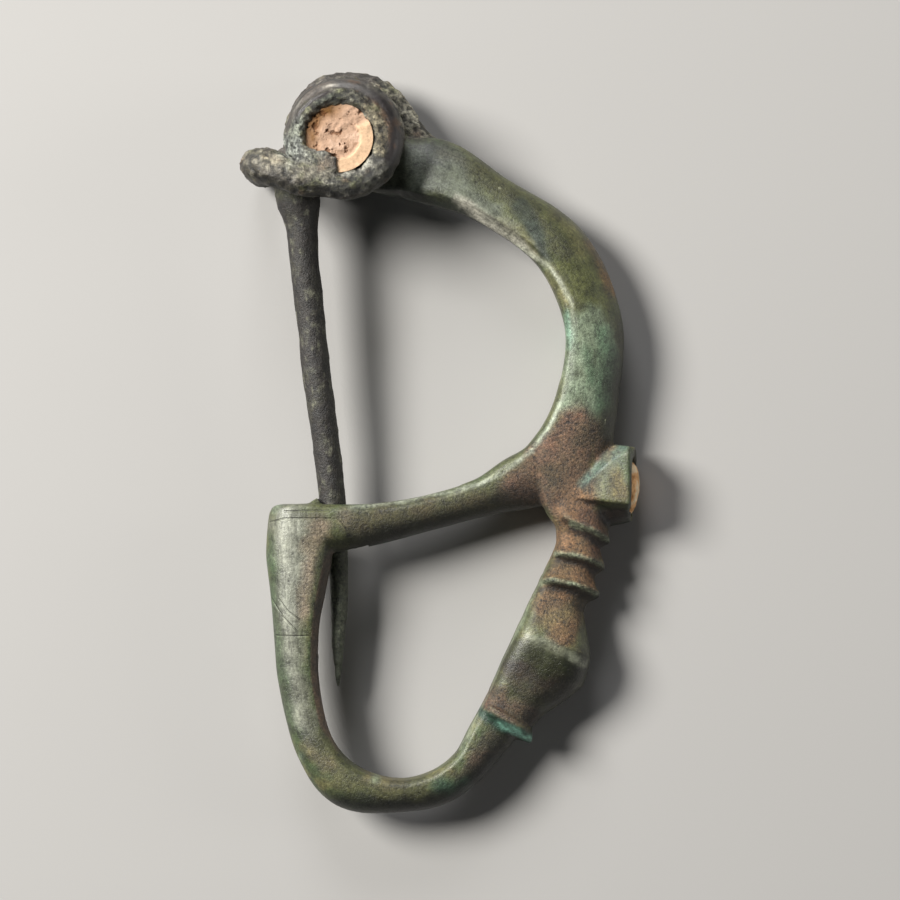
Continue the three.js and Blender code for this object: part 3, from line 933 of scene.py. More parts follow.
# The same on the spring and the pin
SPRING_PATCHES = [
    ((128, 124, 106), 0.9, 1.0, 1.0, [
        [(-1.61, 25.11, 0.8), (-2.82, 26.72, 1.29), (-4.02, 28.33, 0.97), (-5.63, 29.46, 0.64)],
    ]),
    ((176, 172, 154), 0.8, 0.7, 1.0, [[(-3.62, 27.53, 0.4), (-2.9, 26.4, 0.48), (-2.01, 25.03, 0.4)]]),
    ((120, 82, 52), 0.7, 0.6, 0.8, [[(-2.74, 25.92, 0.24), (-2.5, 25.51, 0.24)]]),
    # dark crust under the spring, with painted shade over it
    ((60, 60, 48), 0.9, 0.9, 0.9, [
        [(-12.07, 20.44, 0.72), (-9.66, 20.6, 0.64), (-7.65, 20.93, 0.72), (-5.47, 22.05, 0.72)],
    ]),
    ((118, 113, 98), 0.9, 0.8, 0.6, [
        [(-15.94, 23.34, 0.8), (-14.08, 22.86, 0.8), (-12.07, 22.21, 0.72), (-10.06, 22.05, 0.48)],
    ]),
    ((176, 166, 140), 0.7, 0.5, 0.7, [[(-14.49, 23.1, 0.32), (-13.28, 22.94, 0.32)]]),
    ((160, 160, 148), 0.9, 0.4, 1.0, [[(-11.59, 23.34, 0.4), (-9.82, 23.26, 0.4)]]),
    # darker ochre under the chord's near end: its tint, with painted shade
    ((62, 58, 40), 0.85, 0.6, 0.6, [
        [(-16.1, 22.21, 0.4), (-14.65, 21.49, 0.4), (-12.72, 20.77, 0.4), (-10.46, 20.6, 0.4)],
        [(-15.78, 23.5, 0.24), (-14.81, 23.5, 0.24)],
    ]),
    ((52, 44, 34), 0.9, 0.6, 0.6, [[(-13.28, 19.72, 0.8), (-11.67, 19.32, 1.13)]]),
    ((112, 70, 34), 0.8, 0.7, 0.6, [[(-12.72, 19.56, 0.48), (-10.79, 19.64, 0.4)]]),
    ((150, 144, 128), 0.7, 0.4, 0.4, [[(-14, 20.28, 0.24), (-13.44, 18.99, 0.24), (-12.88, 17.87, 0.24)]]),
]
# Bands round the spring's eye, among them painted highlights and painted shade: colour, strength, radius,
# first and last angle, half width and grain
SPRING_BANDS = [
    ((96, 94, 80), 0.95, 3.3, (0, 360), 0.75, 1.0),
    ((70, 66, 62), 0.95, 4.5, (-60, 168), 0.55, 0.12),
    ((40, 34, 34), 0.9, 4.5, (-50, 52), 0.5, 0.12),
    ((96, 70, 46), 0.7, 4.0, (-5, 50), 0.16, 0.5),
    ((116, 106, 82), 0.7, 3.45, (-25, 58), 0.45, 1.0),
    ((98, 90, 82), 0.8, 4.4, (96, 164), 0.36, 0.2),
    # painted highlights on the smooth nearest turn, at its upper left
    ((196, 190, 176), 0.8, 4.25, (92, 108), 0.12, 0.1),
    ((188, 184, 172), 0.7, 4.35, (134, 158), 0.1, 0.1),
    ((52, 58, 46), 0.8, 3.2, (86, 128), 0.3, 1.0),
    ((146, 150, 142), 0.95, 4.0, (176, 216), 1.0, 1.0),
    ((170, 176, 160), 0.7, 3.3, (150, 176), 0.5, 1.0),
    ((48, 52, 40), 0.85, 3.75, (174, 184), 0.28, 1.0),
    # painted shade in the groove
    ((36, 26, 28), 0.95, 3.7, (98, 160), 0.22, 0.2),
    ((138, 136, 126), 0.8, 3.3, (252, 335), 0.45, 1.0),
    ((64, 58, 54), 0.8, 4.3, (262, 330), 0.5, 0.8),
]
# Lines of painted highlight and painted shade along edges, ridges and crests, and two green lines of the
# cone: colour, strength, wander in mm and the stroke
LEDGES = [
    # painted highlights on the bow's inner facet and along the inner edge of the bow, of the web and of the
    # arm, and of the foot's head
    ((198, 194, 178), 0.75, 0.35, [
        (0.48, 20.44, 0.32), (2.41, 18.83, 0.48), (4.67, 17.22, 0.4), (7, 15.37, 0.2),
    ]),
    ((190, 194, 172), 0.85, 0.1, [
        (4.02, 17.22, 0.08), (6.84, 15.53, 0.13), (7.81, 14.89, 0.13), (8.77, 13.6, 0.13),
        (9.74, 11.99, 0.12), (9.98, 10.22, 0.12),
    ]),
    ((176, 186, 166), 0.75, 0.1, [
        (9.98, 10.22, 0.12), (9.94, 8.29, 0.12), (9.74, 6.2, 0.12), (9.18, 4.27, 0.12), (8.21, 2.33, 0.13),
        (6.6, -0.08, 0.14),
    ]),
    ((168, 174, 156), 0.7, 0.1, [
        (6.6, -0.08, 0.14), (4.43, -1.69, 0.14), (2.41, -2.74, 0.13), (0, -3.34, 0.12), (-4.02, -4.1, 0.11),
        (-8.05, -4.67, 0.1),
    ]),
    ((138, 150, 124), 0.7, 0.1, [
        (8.53, -6.44, 0.12), (7.89, -8.85, 0.12), (6.52, -12.23, 0.13), (5.71, -14, 0.18),
        (4.83, -15.37, 0.16),
    ]),
    ((150, 158, 136), 0.8, 0.1, [
        (4.83, -15.37, 0.16), (4.19, -16.74, 0.14), (3.46, -18.59, 0.13), (2.66, -20.44, 0.12),
        (1.37, -23.1, 0.13), (0.72, -23.98, 0.13),
    ]),
    # painted highlight down the middle of the catch and of the foot's limb
    ((168, 170, 156), 0.55, 0.5, [
        (-12.88, -5.79, 0.56), (-12.96, -8.85, 0.72), (-13.04, -12.07, 0.64), (-12.88, -14.33, 0.56),
    ]),
    ((160, 162, 146), 0.4, 0.5, [(-12.72, -15.69, 0.48), (-12.39, -19.32, 0.48), (-11.83, -22.13, 0.4)]),
    # ridges: painted shadow under each, and a lighter green line along each crest
    ((34, 25, 18), 0.85, 0.2, [(9.82, -6.28, 0.2), (11.11, -6.92, 0.28), (12.39, -7.73, 0.28)]),
    ((30, 23, 17), 0.9, 0.2, [
        (8.61, -8.85, 0.2), (9.9, -9.01, 0.28), (11.19, -9.42, 0.28), (12.07, -9.9, 0.2),
    ]),
    ((30, 23, 17), 0.9, 0.2, [
        (7.32, -11.27, 0.2), (8.29, -11.11, 0.28), (10.06, -11.43, 0.32), (11.59, -12.15, 0.24),
    ]),
    ((132, 142, 116), 0.8, 0.12, [(9.74, -5.88, 0.24), (11.27, -6.44, 0.16), (12.72, -7.32, 0.16)]),
    ((132, 142, 116), 0.8, 0.12, [
        (8.53, -8.37, 0.2), (9.98, -8.45, 0.19), (11.27, -8.85, 0.16), (12.31, -9.42, 0.14),
    ]),
    ((132, 142, 116), 0.8, 0.12, [
        (7.32, -10.7, 0.2), (8.21, -10.46, 0.19), (10.06, -10.79, 0.16), (11.83, -11.67, 0.14),
    ]),
    # cone: a teal band, a green line down its rim, and painted shade under its near face
    ((84, 108, 96), 0.8, 0.25, [(10.46, -2.82, 0.32), (12.07, -1.21, 0.4), (13.84, 0.24, 0.4)]),
    ((50, 62, 36), 0.9, 0.15, [
        (14.49, 0, 0.24), (14.57, -1.61, 0.32), (14.49, -4.02, 0.28), (14.33, -5.47, 0.16),
    ]),
    ((30, 23, 16), 0.9, 0.3, [(12.23, -5.15, 0.4), (13.28, -5.15, 0.48), (14.17, -5.07, 0.4)]),
    # belly: painted highlight along its crest and painted shade below it
    ((164, 168, 146), 0.75, 0.35, [
        (6.52, -15.05, 0.2), (8.29, -15.78, 0.31), (9.58, -16.5, 0.34), (10.7, -17.14, 0.28),
    ]),
    ((40, 30, 18), 0.7, 0.5, [(4.43, -17.3, 0.32), (6.04, -17.87, 0.56), (7.65, -18.83, 0.56)]),
]
# Engraved lines of the catch, and the height that they are on the near side of
SCORES = [
    [(-14.65, -5.84), (-13.2, -5.49), (-9.58, -5.51)],
    [(-13.36, -4.95), (-11.91, -4.89), (-9.66, -4.87)],
    [(-9.01, -5.55), (-8.37, -6.36)],
    [(-14.49, -11.83), (-13.44, -13.42), (-12.34, -14.57)],
    [(-13.8, -11.97), (-13.04, -12.98), (-12.09, -13.68)],
    [(-14.25, -14.97), (-11.35, -14.97)],
]
SCORED_ABOVE_Z = 0.9
# Single strokes: the belly's middle, the brown inner side of the foot loop, the shade under the cup,
# the green collar and its lit edge
BELLY = [(7.65, -16.5, 2.41), (8.85, -17.71, 2.41)]
INNER_SIDE = [
    (-8.45, -7.89, 0.97),
    (-9.74, -9.5, 0.72),
    (-10.38, -12.88, 0.8),
    (-10.54, -18.51, 0.72),
    (-9.98, -21.89, 0.64),
    (-8.85, -23.98, 0.32),
]
UNDER_CUP = [(12.56, -5.39, 0.64), (13.84, -5.15, 0.56)]
COLLAR = [(2.58, -21.17, 0.4), (4.02, -22.05, 0.48), (5.47, -22.7, 0.48), (6.52, -23.34, 0.48)]
COLLAR_EDGE = [(3.86, -21.89, 0.24), (4.99, -22.54, 0.32), (6.44, -23.34, 0.32)]
# The side of the limbs that is darkened as painted shade, away from the light
SHADED_SIDE = np.array([0.45, -0.9, 0])


def patched(tone, grain, patches, points, wander, patch, within):
    """Lays patches over the tones and gives their grain."""
    for shade, strength, ragged, rough, strokes in patches:
        placed = points + wander * ragged * 0.55
        amount = np.maximum.reduce([stroke(placed, line, 0.4 + ragged * 0.5) for line in strokes]) * within
        tone = layer(tone, amount * strength * (0.85 + 0.5 * patch), srgb(*shade))
        grain = grain + (rough - grain) * amount
    return tone, grain


def paint(mesh, points, normals, edges):
    """Colours of the patina, with painted highlights and painted shade, and what the material needs to know
    about it.
    """
    wander = np.stack([fractal(points, 1.4, 40 + k, 4) for k in range(3)], 1)
    z = points[:, 2]
    count = len(points)
    spring, pin = wire_zones(points)
    far, _ = polar_about_eye(points)
    spring = np.maximum(spring, ramp(z, 2.2, 2.8) * ramp(-far, -6, -5)) * (1 - pin)
    cast = (1 - spring) * (1 - pin)
    broad = fractal(points, 3.2, 11, 4)
    patch = fractal(points, 1.1, 21, 4)
    fine = fractal(points, 0.45, 31, 3)
    inward = averaged(points, edges, 2) - points
    deeper = averaged(points, edges, 25) - points
    bend = np.einsum("ij,ij->i", inward, normals)
    bay = np.einsum("ij,ij->i", deeper, normals)
    worn = ramp(-bend, 0.006, 0.03)
    crease_shade = np.maximum(ramp(bend, 0.004, 0.02), 0.8 * ramp(bay, 0.04, 0.22))
    tone = np.tile(srgb(84, 88, 54), (count, 1))
    tone = layer(tone, ramp(broad, -0.1, 0.45) * 0.7, srgb(66, 84, 50))
    tone = layer(tone, ramp(patch, 0.1, 0.6) * 0.6, srgb(108, 100, 64))
    grain = np.full(count, 0.3)
    tone, grain = patched(tone, grain, PATCHES, points, wander, patch, cast)
    wall = stroke(points, INNER_SIDE, 0.4)
    wall *= ramp(normals[:, 0], 0.3, 0.6) * cast
    tone = layer(tone, wall * (0.85 + 0.3 * fine), srgb(116, 90, 72))
    # painted shade under the cup
    under = stroke(points, UNDER_CUP, 0.5) * ramp(2.6 - z, 0, 0.4) * cast
    tone = layer(tone, under, srgb(44, 34, 24))
    tone = layer(tone, ramp(-patch, 0.05, 0.45) * 0.6, tone * 0.4)
    tone = layer(tone, ramp(patch, 0.1, 0.5) * 0.4, tone * 1.6)
    tone = layer(tone, worn * 0.55 * cast, srgb(150, 152, 124))
    # painted shade in creases and hollows
    tone = layer(tone, crease_shade * 0.75, tone * 0.3)
    # painted shade on the side of each limb that faces away from the light
    side_shade = ramp(normals @ SHADED_SIDE, 0.05, 0.5)
    tone = layer(tone, side_shade * cast, tone * 0.32)
    # painted highlights and painted shade along lines, and the cone's green lines
    for shade, strength, ragged, line in LEDGES:
        ledge = stroke(points + wander * ragged, line, 0.25 + ragged) * cast * ramp(z, 0.3, 1.2)
        tone = layer(tone, ledge * strength * (0.85 + 0.7 * fine), srgb(*shade))
    collar = stroke(points + wander * 0.25, COLLAR, 0.35) * cast
    lit = stroke(points + wander * 0.15, COLLAR_EDGE, 0.5)
    green = srgb(38, 66, 52) + lit[:, None] * (0.75 + fine[:, None]) * srgb(112, 156, 140)
    tone = layer(tone, collar * 0.95, green)
    grain += (0.5 - grain) * collar

    # spring: dark bare metal, grey mineral crust with pale grains and rust, with painted highlights and
    # painted shade
    metal = np.tile(srgb(66, 60, 54), (count, 1))
    metal = layer(metal, ramp(patch, -0.1, 0.5), srgb(88, 80, 70))
    crust = np.full(count, 0.6)
    for shade, strength, radius, turns_between, width, rough in SPRING_BANDS:
        band = arc(points + wander * 0.3, radius, turns_between, 0.3, width) * spring * ramp(z, 1.8, 3.4)
        metal = layer(metal, band * strength, srgb(*shade))
        crust = crust + (rough - crust) * band
    metal, crust = patched(metal, crust, SPRING_PATCHES, points, wander, patch, spring)
    loose = ramp(crust, 0.2, 0.7)
    crumbs = fractal(points, CRUMB_SIZE, 91, 3)
    metal *= 0.85
    metal = layer(metal, ramp(fractal(points, 1.0, 57, 3), 0.15, 0.5) * loose * 0.6, srgb(94, 96, 62))
    metal = layer(metal, ramp(fractal(points, 0.9, 59, 3), 0.25, 0.6) * 0.45, srgb(100, 72, 46))
    metal = layer(metal, ramp(crumbs, 0.02, 0.35) * loose * 0.85, metal * 1.7 + srgb(60, 60, 56))
    metal = layer(metal, ramp(-crumbs, 0.0, 0.3) * loose * 0.9, metal * 0.16)
    # painted shade in the gap between the nearest turn and the next, and a painted highlight along the next
    # turn's top edge
    gap_shade = ramp(far, 4.2, 4.4) * (1 - ramp(np.abs(z - 3.95), 0.12, 0.3))
    rim = ramp(far, 4.6, 4.8) * ramp(3.8 - z, 0.0, 0.2) * ramp(z, 2.6, 2.9)
    rim *= ramp(points[:, 1] - EYE[1], 1.5, 2.5)
    metal = layer(metal, rim * 0.7 * (0.7 + fine), srgb(172, 172, 160))
    metal = layer(metal, gap_shade * 0.8, srgb(24, 22, 18))
    # painted shade in creases and on the side of the spring away from the light
    metal = layer(metal, crease_shade * 0.8, metal * 0.3)
    metal = layer(metal, side_shade * 0.7, metal * 0.5)
    tone = layer(tone, spring, metal)
    rod = np.tile(srgb(34, 29, 24), (count, 1))
    rod = layer(rod, ramp(patch, 0, 0.4) * 0.8, srgb(52, 50, 38))
    rod = layer(rod, ramp(fine, 0.2, 0.5) * 0.65, srgb(112, 112, 94))
    rod = layer(rod, ramp(-fine, 0.15, 0.45) * 0.8, srgb(16, 15, 12))
    tip = ramp(-6.0 - points[:, 1], 0, 2)
    rod = layer(rod, tip * 0.6, srgb(74, 82, 62))
    tone = layer(tone, pin, rod)
    colour(mesh, "tone", tone)
    grain = grain * cast + spring * crust + pin * 0.7
    number(mesh, "grain", grain)
    earthy = cast * np.clip(grain * 1.4 - 0.6, 0, 1)
    number(mesh, "speck", spring * loose * 0.6 + pin * 0.3 + earthy * 0.5)
    vectors(mesh, "flow", flow_of(points, spring))
    vectors(mesh, "drawn", points)
    return {"spring": spring, "pin": pin, "grain": grain * cast, "crust": loose, "crumbs": crumbs}


def relief(points, zone):
    """Height that the corrosion and the casting add over the smooth shape."""
    high = 0.04 * fractal(points, 3.0, 61, 2) + 0.012 * fractal(points, 0.8, 71, 3)
    high += ramp(zone["grain"], 0.5, 0.9) * 0.045 * fractal(points, 0.8, 81, 3)
    high += zone["spring"] * (zone["crust"] * (0.06 + 0.2 * zone["crumbs"]) - 0.04)
    high += zone["pin"] * 0.07 * fractal(points, 0.6, 95, 3)
    return high


def build_brooch():
    """The bronze: one solid, thinned, painted and then roughened, and kept inside the CAD's box."""
    brooch = mesh_object("brooch_piece", mesh_of(brooch_field()))
    thinned(brooch, MOST_TRIANGLES)
    mesh = brooch.data
    at = drawn(places(mesh))
    normals = outward(mesh) @ np.array(LIE.to_3x3().normalized())
    edges = rows_of(mesh.edges, "vertices", 2, np.int64)
    zone = paint(mesh, at, normals, edges)
    at = at + normals * relief(at, zone)[:, None]
    rested = laid(at)
    low, high = np.array(cad_box[0]), np.array(cad_box[1])
    place(mesh, np.clip(rested, low, high))
    mesh.materials.append(patina())
    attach(brooch, "root")
    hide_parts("brooch")


# ---------------------------------------------------------------- materials

# The range that holds most of a noise texture's values
MIDDLE = (0.3, 0.7)


class Nodes:
    """Short ways to add and join nodes of one material."""

    def __init__(self, name):
        self.material = bpy.data.materials.new(name)
        self.material.use_nodes = True
        self.tree = self.material.node_tree
        self.shader = self.tree.nodes["Principled BSDF"]

    def add(self, kind, sockets=None, **settings):
        node = self.tree.nodes.new(kind)
        for key, value in settings.items():
            setattr(node, key, value)
        for key, value in (sockets or {}).items():
            self.feed(value, node.inputs[key])
        return node

    def feed(self, value, socket):
        if isinstance(value, bpy.types.NodeSocket):
            self.tree.links.new(value, socket)
        else:
            socket.default_value = value

    def kept(self, name, output="Fac"):
        return self.add("ShaderNodeAttribute", attribute_name=name).outputs[output]

    def noise(self, size, detail, rough):
        """Noise whose lumps are about `size` mm across, on the object's own coordinates."""
        place = self.add("ShaderNodeTexCoord").outputs["Object"]
        return self.noise_at(place, 0.5 / (size * MM), detail, rough)

    def noise_at(self, place, scale, detail, rough):
        """Noise on places that come from another node."""
        sockets = {"Vector": place, "Scale": scale, "Detail": detail, "Roughness": rough}
        return self.add("ShaderNodeTexNoise", sockets).outputs["Fac"]

    def grains(self, size):
        """Shade of each grain from -1 to 1, and how deep the bed between the grains lies."""
        place = self.add("ShaderNodeTexCoord").outputs["Object"]
        node = self.add("ShaderNodeTexVoronoi", {"Vector": place, "Scale": 1 / (size * MM)})
        shade = self.add("ShaderNodeSeparateColor", {0: node.outputs["Color"]}).outputs[0]
        shade = self.spread(shade, 0.0, 1.0, -1.0, 1.0)
        return shade, self.spread(node.outputs["Distance"], 0.0, 0.7, 1.0, 0.0)

    def along(self, place, axis):
        """How far places lie along an axis of the brooch's plane."""
        node = self.add("ShaderNodeVectorMath", {0: place, 1: (*axis, 0.0)}, operation="DOT_PRODUCT")
        return node.outputs["Value"]

    def scores(self):
        """1 in the engraved lines, where shade is painted, and 1 on the lip that each has on one side,
        where a highlight is painted.
        """
        place = self.kept("drawn", "Vector")
        cut, lip = 0.0, 0.0
        for line in SCORES:
            for a, b in zip(np.asarray(line)[:-1], np.asarray(line)[1:]):
                step = (b - a) / np.linalg.norm(b - a)
                side = np.array([step[1], -step[0]])
                run = self.along(place, step.tolist())
                off = self.math("SUBTRACT", self.along(place, side.tolist()), float(a @ side))
                within = self.math("GREATER_THAN", run, float(a @ step))
                within = self.times(within, self.math("LESS_THAN", run, float(b @ step)))
                groove = self.spread(self.math("ABSOLUTE", off), 0.035, 0.08, 1.0, 0.0)
                beside = self.spread(off, 0.07, 0.2, 1.0, 0.0)
                beside = self.times(beside, self.math("GREATER_THAN", off, 0.0))
                cut = self.math("MAXIMUM", cut, self.times(within, groove))
                lip = self.math("MAXIMUM", lip, self.times(within, beside))
        height = self.add("ShaderNodeSeparateXYZ", {0: place}).outputs[2]
        near = self.math("GREATER_THAN", height, SCORED_ABOVE_Z)
        return self.times(cut, near), self.times(lip, near)

    def math(self, operation, a, b=0.0, c=0.0):
        """One sum on numbers or sockets."""
        return self.add("ShaderNodeMath", {0: a, 1: b, 2: c}, operation=operation).outputs[0]

    def times(self, a, b):
        """a * b"""
        return self.math("MULTIPLY", a, b)

    def times_add(self, a, b, c):
        """a * b + c"""
        return self.math("MULTIPLY_ADD", a, b, c)

    def spread(self, value, low, high, to_low, to_high):
        """Moves the range from low to high onto another one, and holds it there."""
        sockets = {"Value": value, "From Min": low, "From Max": high, "To Min": to_low, "To Max": to_high}
        return self.add("ShaderNodeMapRange", sockets).outputs["Result"]

    def scaled(self, tone, amount):
        """A colour times a number."""
        node = self.add("ShaderNodeVectorMath", {0: tone, "Scale": amount}, operation="SCALE")
        return node.outputs["Vector"]

    def bump(self, height, distance):
        """Relief by shading, from a height of 1 that stands for a distance in mm."""
        node = self.add("ShaderNodeBump", {"Height": height, "Distance": distance * MM})
        self.feed(node.outputs["Normal"], self.shader.inputs["Normal"])


def patina():
    """Bronze under its patina: satin where it is smooth, granular and dull where earth and crust hold."""
    made = Nodes("bronze_patina")
    grain, speck = made.kept("grain"), made.kept("speck")
    smooth = made.math("SUBTRACT", 1.0, grain)
    mottle = made.spread(made.noise(0.42, 5.0, 0.65), *MIDDLE, -1.0, 1.0)
    fine = made.noise(0.12, 4.0, 0.75)
    streak = made.noise_at(made.kept("flow", "Vector"), 5.0, 5.0, 0.75)
    streak = made.spread(streak, *MIDDLE, -1.0, 1.0)
    grit, bed = made.grains(0.15)
    scored, lip_highlight = made.scores()
    change = made.spread(fine, 0.35, 0.65, -1.0, 1.0)
    change = made.times_add(change, 0.8, made.times(grit, 0.35))
    change = made.times(change, made.times_add(grain, 0.65, 0.22))
    change = made.math("ADD", change, made.times_add(mottle, 0.36, 0.92))
    change = made.math("ADD", change, made.times(streak, made.times(smooth, 0.4)))
    worn = made.spread(mottle, -0.6, 0.5, 0.2, 1.0)
    # painted highlight on the lip beside each engraved line, and painted shade in its groove, both of
    # varying strength
    change = made.times_add(made.times(lip_highlight, worn), 0.7, change)
    change = made.times_add(made.times(scored, worn), -0.7, change)
    change = made.math("MAXIMUM", change, 0.1)
    tone = made.scaled(made.kept("tone", "Color"), change)
    pale = made.math("ADD", grit, made.spread(fine, *MIDDLE, -1.0, 1.0))
    pale = made.times(made.spread(pale, 0.9, 1.5, 0.0, 0.7), speck)
    mixed = made.add("ShaderNodeMix", data_type="RGBA")
    made.feed(pale, mixed.inputs[0])
    made.feed(tone, mixed.inputs[6])
    made.feed(made.scaled(made.kept("tone", "Color"), 2.6), mixed.inputs[7])
    made.feed(mixed.outputs[2], made.shader.inputs["Base Color"])
    rough = made.times_add(grain, 0.33, 0.38)
    made.feed(made.times_add(mottle, 0.06, rough), made.shader.inputs["Roughness"])
    made.shader.inputs["Metallic"].default_value = 0.15
    made.shader.inputs["Specular IOR Level"].default_value = 1.0
    height = made.times_add(grit, 0.15, made.times(fine, 1.3))
    height = made.times_add(bed, 0.25, height)
    height = made.times(height, made.times_add(grain, 1.0, 0.06))
    height = made.times_add(streak, made.times(smooth, 0.06), height)
    height = made.times_add(scored, -0.6, height)
    made.bump(height, 0.08)
    return made.material


def paste(name):
    """Crumbly fill in the tones that its vertices keep."""
    made = Nodes(name)
    fine = made.noise(0.11, 4.0, 0.75)
    mottle = made.noise(0.4, 5.0, 0.65)
    change = made.times_add(made.spread(fine, *MIDDLE, -1.0, 1.0), 0.16, 1.0)
    change = made.times_add(made.spread(mottle, *MIDDLE, -1.0, 1.0), 0.12, change)
    made.feed(made.scaled(made.kept("tone", "Color"), change), made.shader.inputs["Base Color"])
    made.shader.inputs["Roughness"].default_value = 0.95
    made.shader.inputs["Specular IOR Level"].default_value = 0.2
    made.bump(made.times_add(fine, 0.6, mottle), 0.12)
    return made.material


# ---------------------------------------------------------------- the two fills


# The fill: radius of its near face, the edge below it as (radius, fall), rings of the face, radius of
# its body, and how it closes at the back as (lift, radius)
FILL_FACE_RADIUS = 2.76
FILL_EDGE = (2.78, -0.3)
FILL_FACE_RINGS = 80
FILL_BODY_RADIUS = 2.4
FILL_BACK = [(0.1, 2.2), (0.0, 1.9), (0.25, 1.2), (0.3, 0.4)]
FILL_POINTS = 220
# Where the smooth lip is and where the floor is lowest, in degrees about the eye
LIP_TURN = -38
LOW_TURN = 145
# The inlay's dome and side: radius and height out from the cup's rim
INLAY_PROFILE = [
    (0, INLAY_DOME),
    (0.5, 0.58),
    (1.0, 0.53),
    (1.5, 0.42),
    (1.9, 0.24),
    (2.2, 0.0),
    (2.3, -0.2),
    (2.3, 0.2 - CUP_DEPTH),
    (0, 0.2 - CUP_DEPTH),
]


def build_fill():
    """The spring's eye fill: a plug with a broken floor inside a smooth lip at its lower right."""
    radii = np.append(np.linspace(0, FILL_FACE_RADIUS, FILL_FACE_RINGS), FILL_EDGE[0])
    fall = np.append(np.zeros(FILL_FACE_RINGS), FILL_EDGE[1])
    axis = coil_centre(FILL_NEAR_Z) - coil_centre(FILL_FAR_Z)
    axis /= np.linalg.norm(axis)
    turn = np.linspace(0, 2 * np.pi, FILL_POINTS, endpoint=False)
    wheel = np.stack([np.cos(turn), np.sin(turn), np.zeros(FILL_POINTS)], 1)
    face = np.array([*EYE, FILL_NEAR_Z])
    rings = [face + axis * h + wheel * max(r, 1e-3) for r, h in zip(radii, fall)]
    rings += [coil_centre(z) + wheel * FILL_BODY_RADIUS for z in np.linspace(4.2, FILL_FAR_Z + 0.4, 20)]
    rings += [coil_centre(FILL_FAR_Z + lift) + wheel * r for lift, r in FILL_BACK]
    fill = mesh_object("spring_fill_piece", tube(np.array(rings)))
    at = drawn(places(fill.data))
    wander = np.stack([fractal(at, 0.9, 140 + k, 4) for k in range(2)], 1)
    far, angle = polar_about_eye(at + np.hstack([wander * 0.16, np.zeros((len(at), 1))]))
    near = ramp(at[:, 2], FILL_NEAR_Z - 0.4, FILL_NEAR_Z - 0.2)
    lower = ramp(np.cos(np.radians(angle - LIP_TURN)), 0.25, 0.5)
    lip = lower * ramp(far, 1.55, 1.85)
    upper = ramp(np.cos(np.radians(angle - LOW_TURN)), 0.2, 0.8) * ramp(far, 1.1, 2.3)
    rubble = fractal(at, 0.7, 101, 4)
    pits = ramp(fractal(at, 0.5, 111, 4), 0.15, 0.45) * (1 - lip)
    down = (1 - lip) * (0.3 - 0.16 * rubble) + 0.16 * pits + 0.2 * upper
    down += 0.04 * fractal(at, 0.8, 121, 3)
    at[:, 2] -= near * down
    crumbs = 0.06 * fractal(at, 0.5, 131, 3) * (1 - near)
    place(fill.data, laid(at + outward(fill.data) * crumbs[:, None]))
    tone = np.tile(srgb(186, 154, 130), (len(at), 1))
    tone = layer(tone, ramp(rubble, 0.0, 0.5) * 0.7, srgb(214, 182, 158))
    tone = layer(tone, lip, srgb(218, 184, 150))
    # darker brown on the upper left of the fill: its own colour with painted shade, over a floor that is
    # also lower there
    tone = layer(tone, upper * (0.85 + 0.5 * rubble), srgb(120, 86, 50))
    tone = layer(tone, pits * 0.75, srgb(104, 68, 42))
    tone = layer(tone, 0.8 * ramp(-at[:, 2], -2, -1), srgb(150, 116, 86))
    colour(fill.data, "tone", tone)
    fill.data.materials.append(paste("pale_paste"))
    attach(fill, "root")
    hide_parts("spring_plug")


def build_inlay():
    """The disc's inlay: a low dome with a crumbled face."""
    rows = np.asarray(INLAY_PROFILE, float)
    where = np.linspace(0, len(rows) - 1, 70)
    fine = np.stack([np.interp(where, np.arange(len(rows)), rows[:, k]) for k in (0, 1)], 1)
    inlay = mesh_object("disc_inlay_piece", on_disc(fine, drop=CUP_DROP))
    at = drawn(places(inlay.data))
    normals = outward(inlay.data) @ np.array(LIE.to_3x3().normalized())
    crumbs = fractal(at, 0.9, 121, 4)
    high = 0.13 * crumbs + 0.05 * fractal(at, 0.4, 131, 3) - 0.12
    rested = laid(at + normals * high[:, None])
    rested[:, 0] = np.minimum(rested[:, 0], cad_box[1][0])
    place(inlay.data, rested)
    tone = np.tile(srgb(240, 190, 136), (len(at), 1))
    tone = layer(tone, ramp(crumbs, -0.1, 0.3), srgb(255, 232, 196))
    tone = layer(tone, ramp(-crumbs, 0.15, 0.45) * 0.7, srgb(158, 92, 46))
    colour(inlay.data, "tone", tone)
    inlay.data.materials.append(paste("orange_paste"))
    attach(inlay, "root")
    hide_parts("disc_inlay")


# ---------------------------------------------------------------- stage, lights and camera


FLOOR_HALF = 1.5
FLOOR_COLOUR = (0.42, 0.412, 0.4, 1)
SENSOR_WIDTH = 36.0
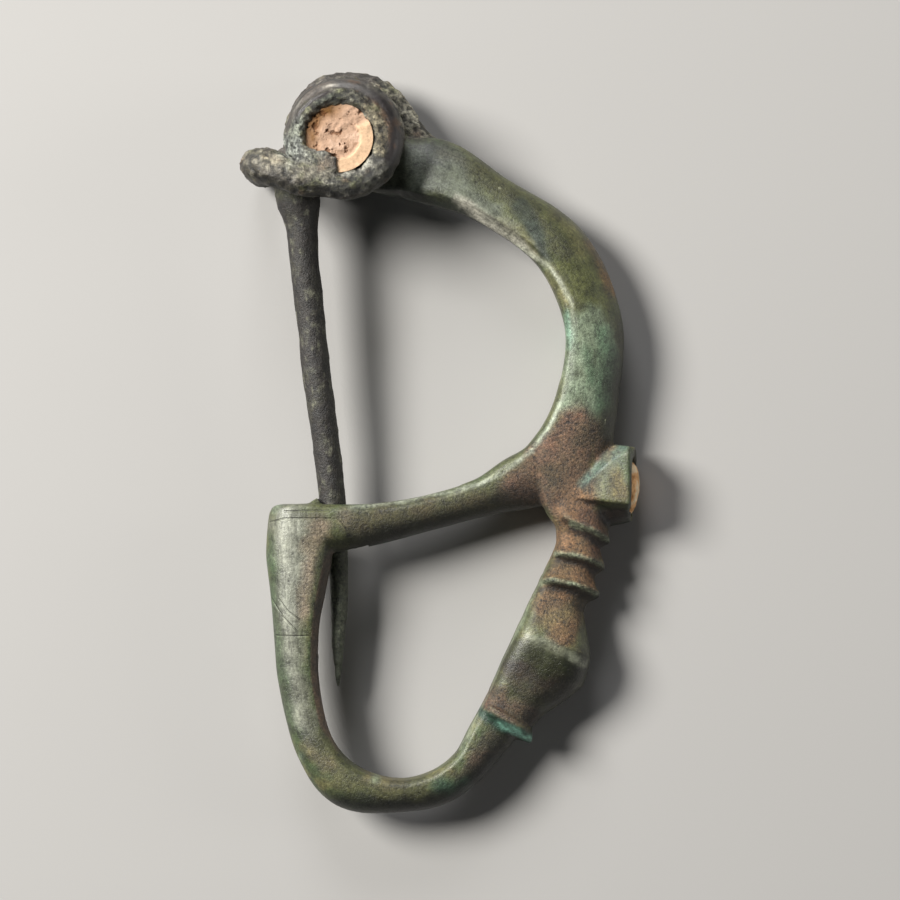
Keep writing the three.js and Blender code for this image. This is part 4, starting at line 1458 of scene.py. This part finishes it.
# Lights: direction in the brooch's own axes, distance and size in m, power in W and tint
LIGHTS = {
    "key": ((-0.62, 0.32, 0.72), 0.5, 0.22, 4.4, (1.0, 0.98, 0.94)),
    "top": ((-0.1, 0.85, 0.5), 0.6, 0.25, 1.3, (0.98, 0.98, 1.0)),
    "side": ((0.9, 0.1, 0.35), 0.6, 0.2, 0.45, (1.0, 0.97, 0.93)),
}
WORLD_COLOUR = (0.8, 0.85, 0.9, 1)
WORLD_STRENGTH = 0.05


def stage():
    """Plain pale floor."""
    floor = bpy.data.meshes.new("floor")
    corners = [(x * FLOOR_HALF, y * FLOOR_HALF, 0) for x, y in ((-1, -1), (1, -1), (1, 1), (-1, 1))]
    floor.from_pydata(corners, [], [(0, 1, 2, 3)])
    ground = bpy.data.objects.new("floor", floor)
    bpy.context.scene.collection.objects.link(ground)
    made = Nodes("pale_floor")
    made.shader.inputs["Base Color"].default_value = FLOOR_COLOUR
    made.shader.inputs["Roughness"].default_value = 0.9
    floor.materials.append(made.material)


def soft_light(name, toward, distance, size, power, tint):
    """Area light that shines on the brooch from a direction in its own plane's axes."""
    lamp = bpy.data.lights.new(name, "AREA")
    lamp.shape = "DISK"
    lamp.size = size
    lamp.energy = power
    lamp.color = tint
    thing = bpy.data.objects.new(name, lamp)
    away = Vector(toward).normalized()
    thing.location = away * distance
    thing.rotation_euler = away.to_track_quat("Z", "Y").to_euler()
    bpy.context.scene.collection.objects.link(thing)


def camera():
    """Camera square to the brooch's plane, as in the photo."""
    lens = bpy.data.cameras.new("camera")
    lens.sensor_width = SENSOR_WIDTH
    lens.lens = SENSOR_WIDTH * CAMERA_DISTANCE / VIEW_WIDTH
    lens.clip_start = 0.01
    lens.clip_end = 10.0
    thing = bpy.data.objects.new("camera", lens)
    turn = LIE.to_3x3().normalized()
    thing.matrix_world = Matrix.Translation(LIE @ Vector((0, 0, CAMERA_DISTANCE))) @ turn.to_4x4()
    bpy.context.scene.collection.objects.link(thing)
    bpy.context.scene.camera = thing


build_brooch()
build_fill()
build_inlay()
stage()
for light, settings in LIGHTS.items():
    soft_light(light, *settings)
camera()
world = bpy.data.worlds.new("world")
world.use_nodes = True
world.node_tree.nodes["Background"].inputs[0].default_value = WORLD_COLOUR
world.node_tree.nodes["Background"].inputs[1].default_value = WORLD_STRENGTH
bpy.context.scene.world = world
bpy.context.scene.view_settings.view_transform = "Standard"
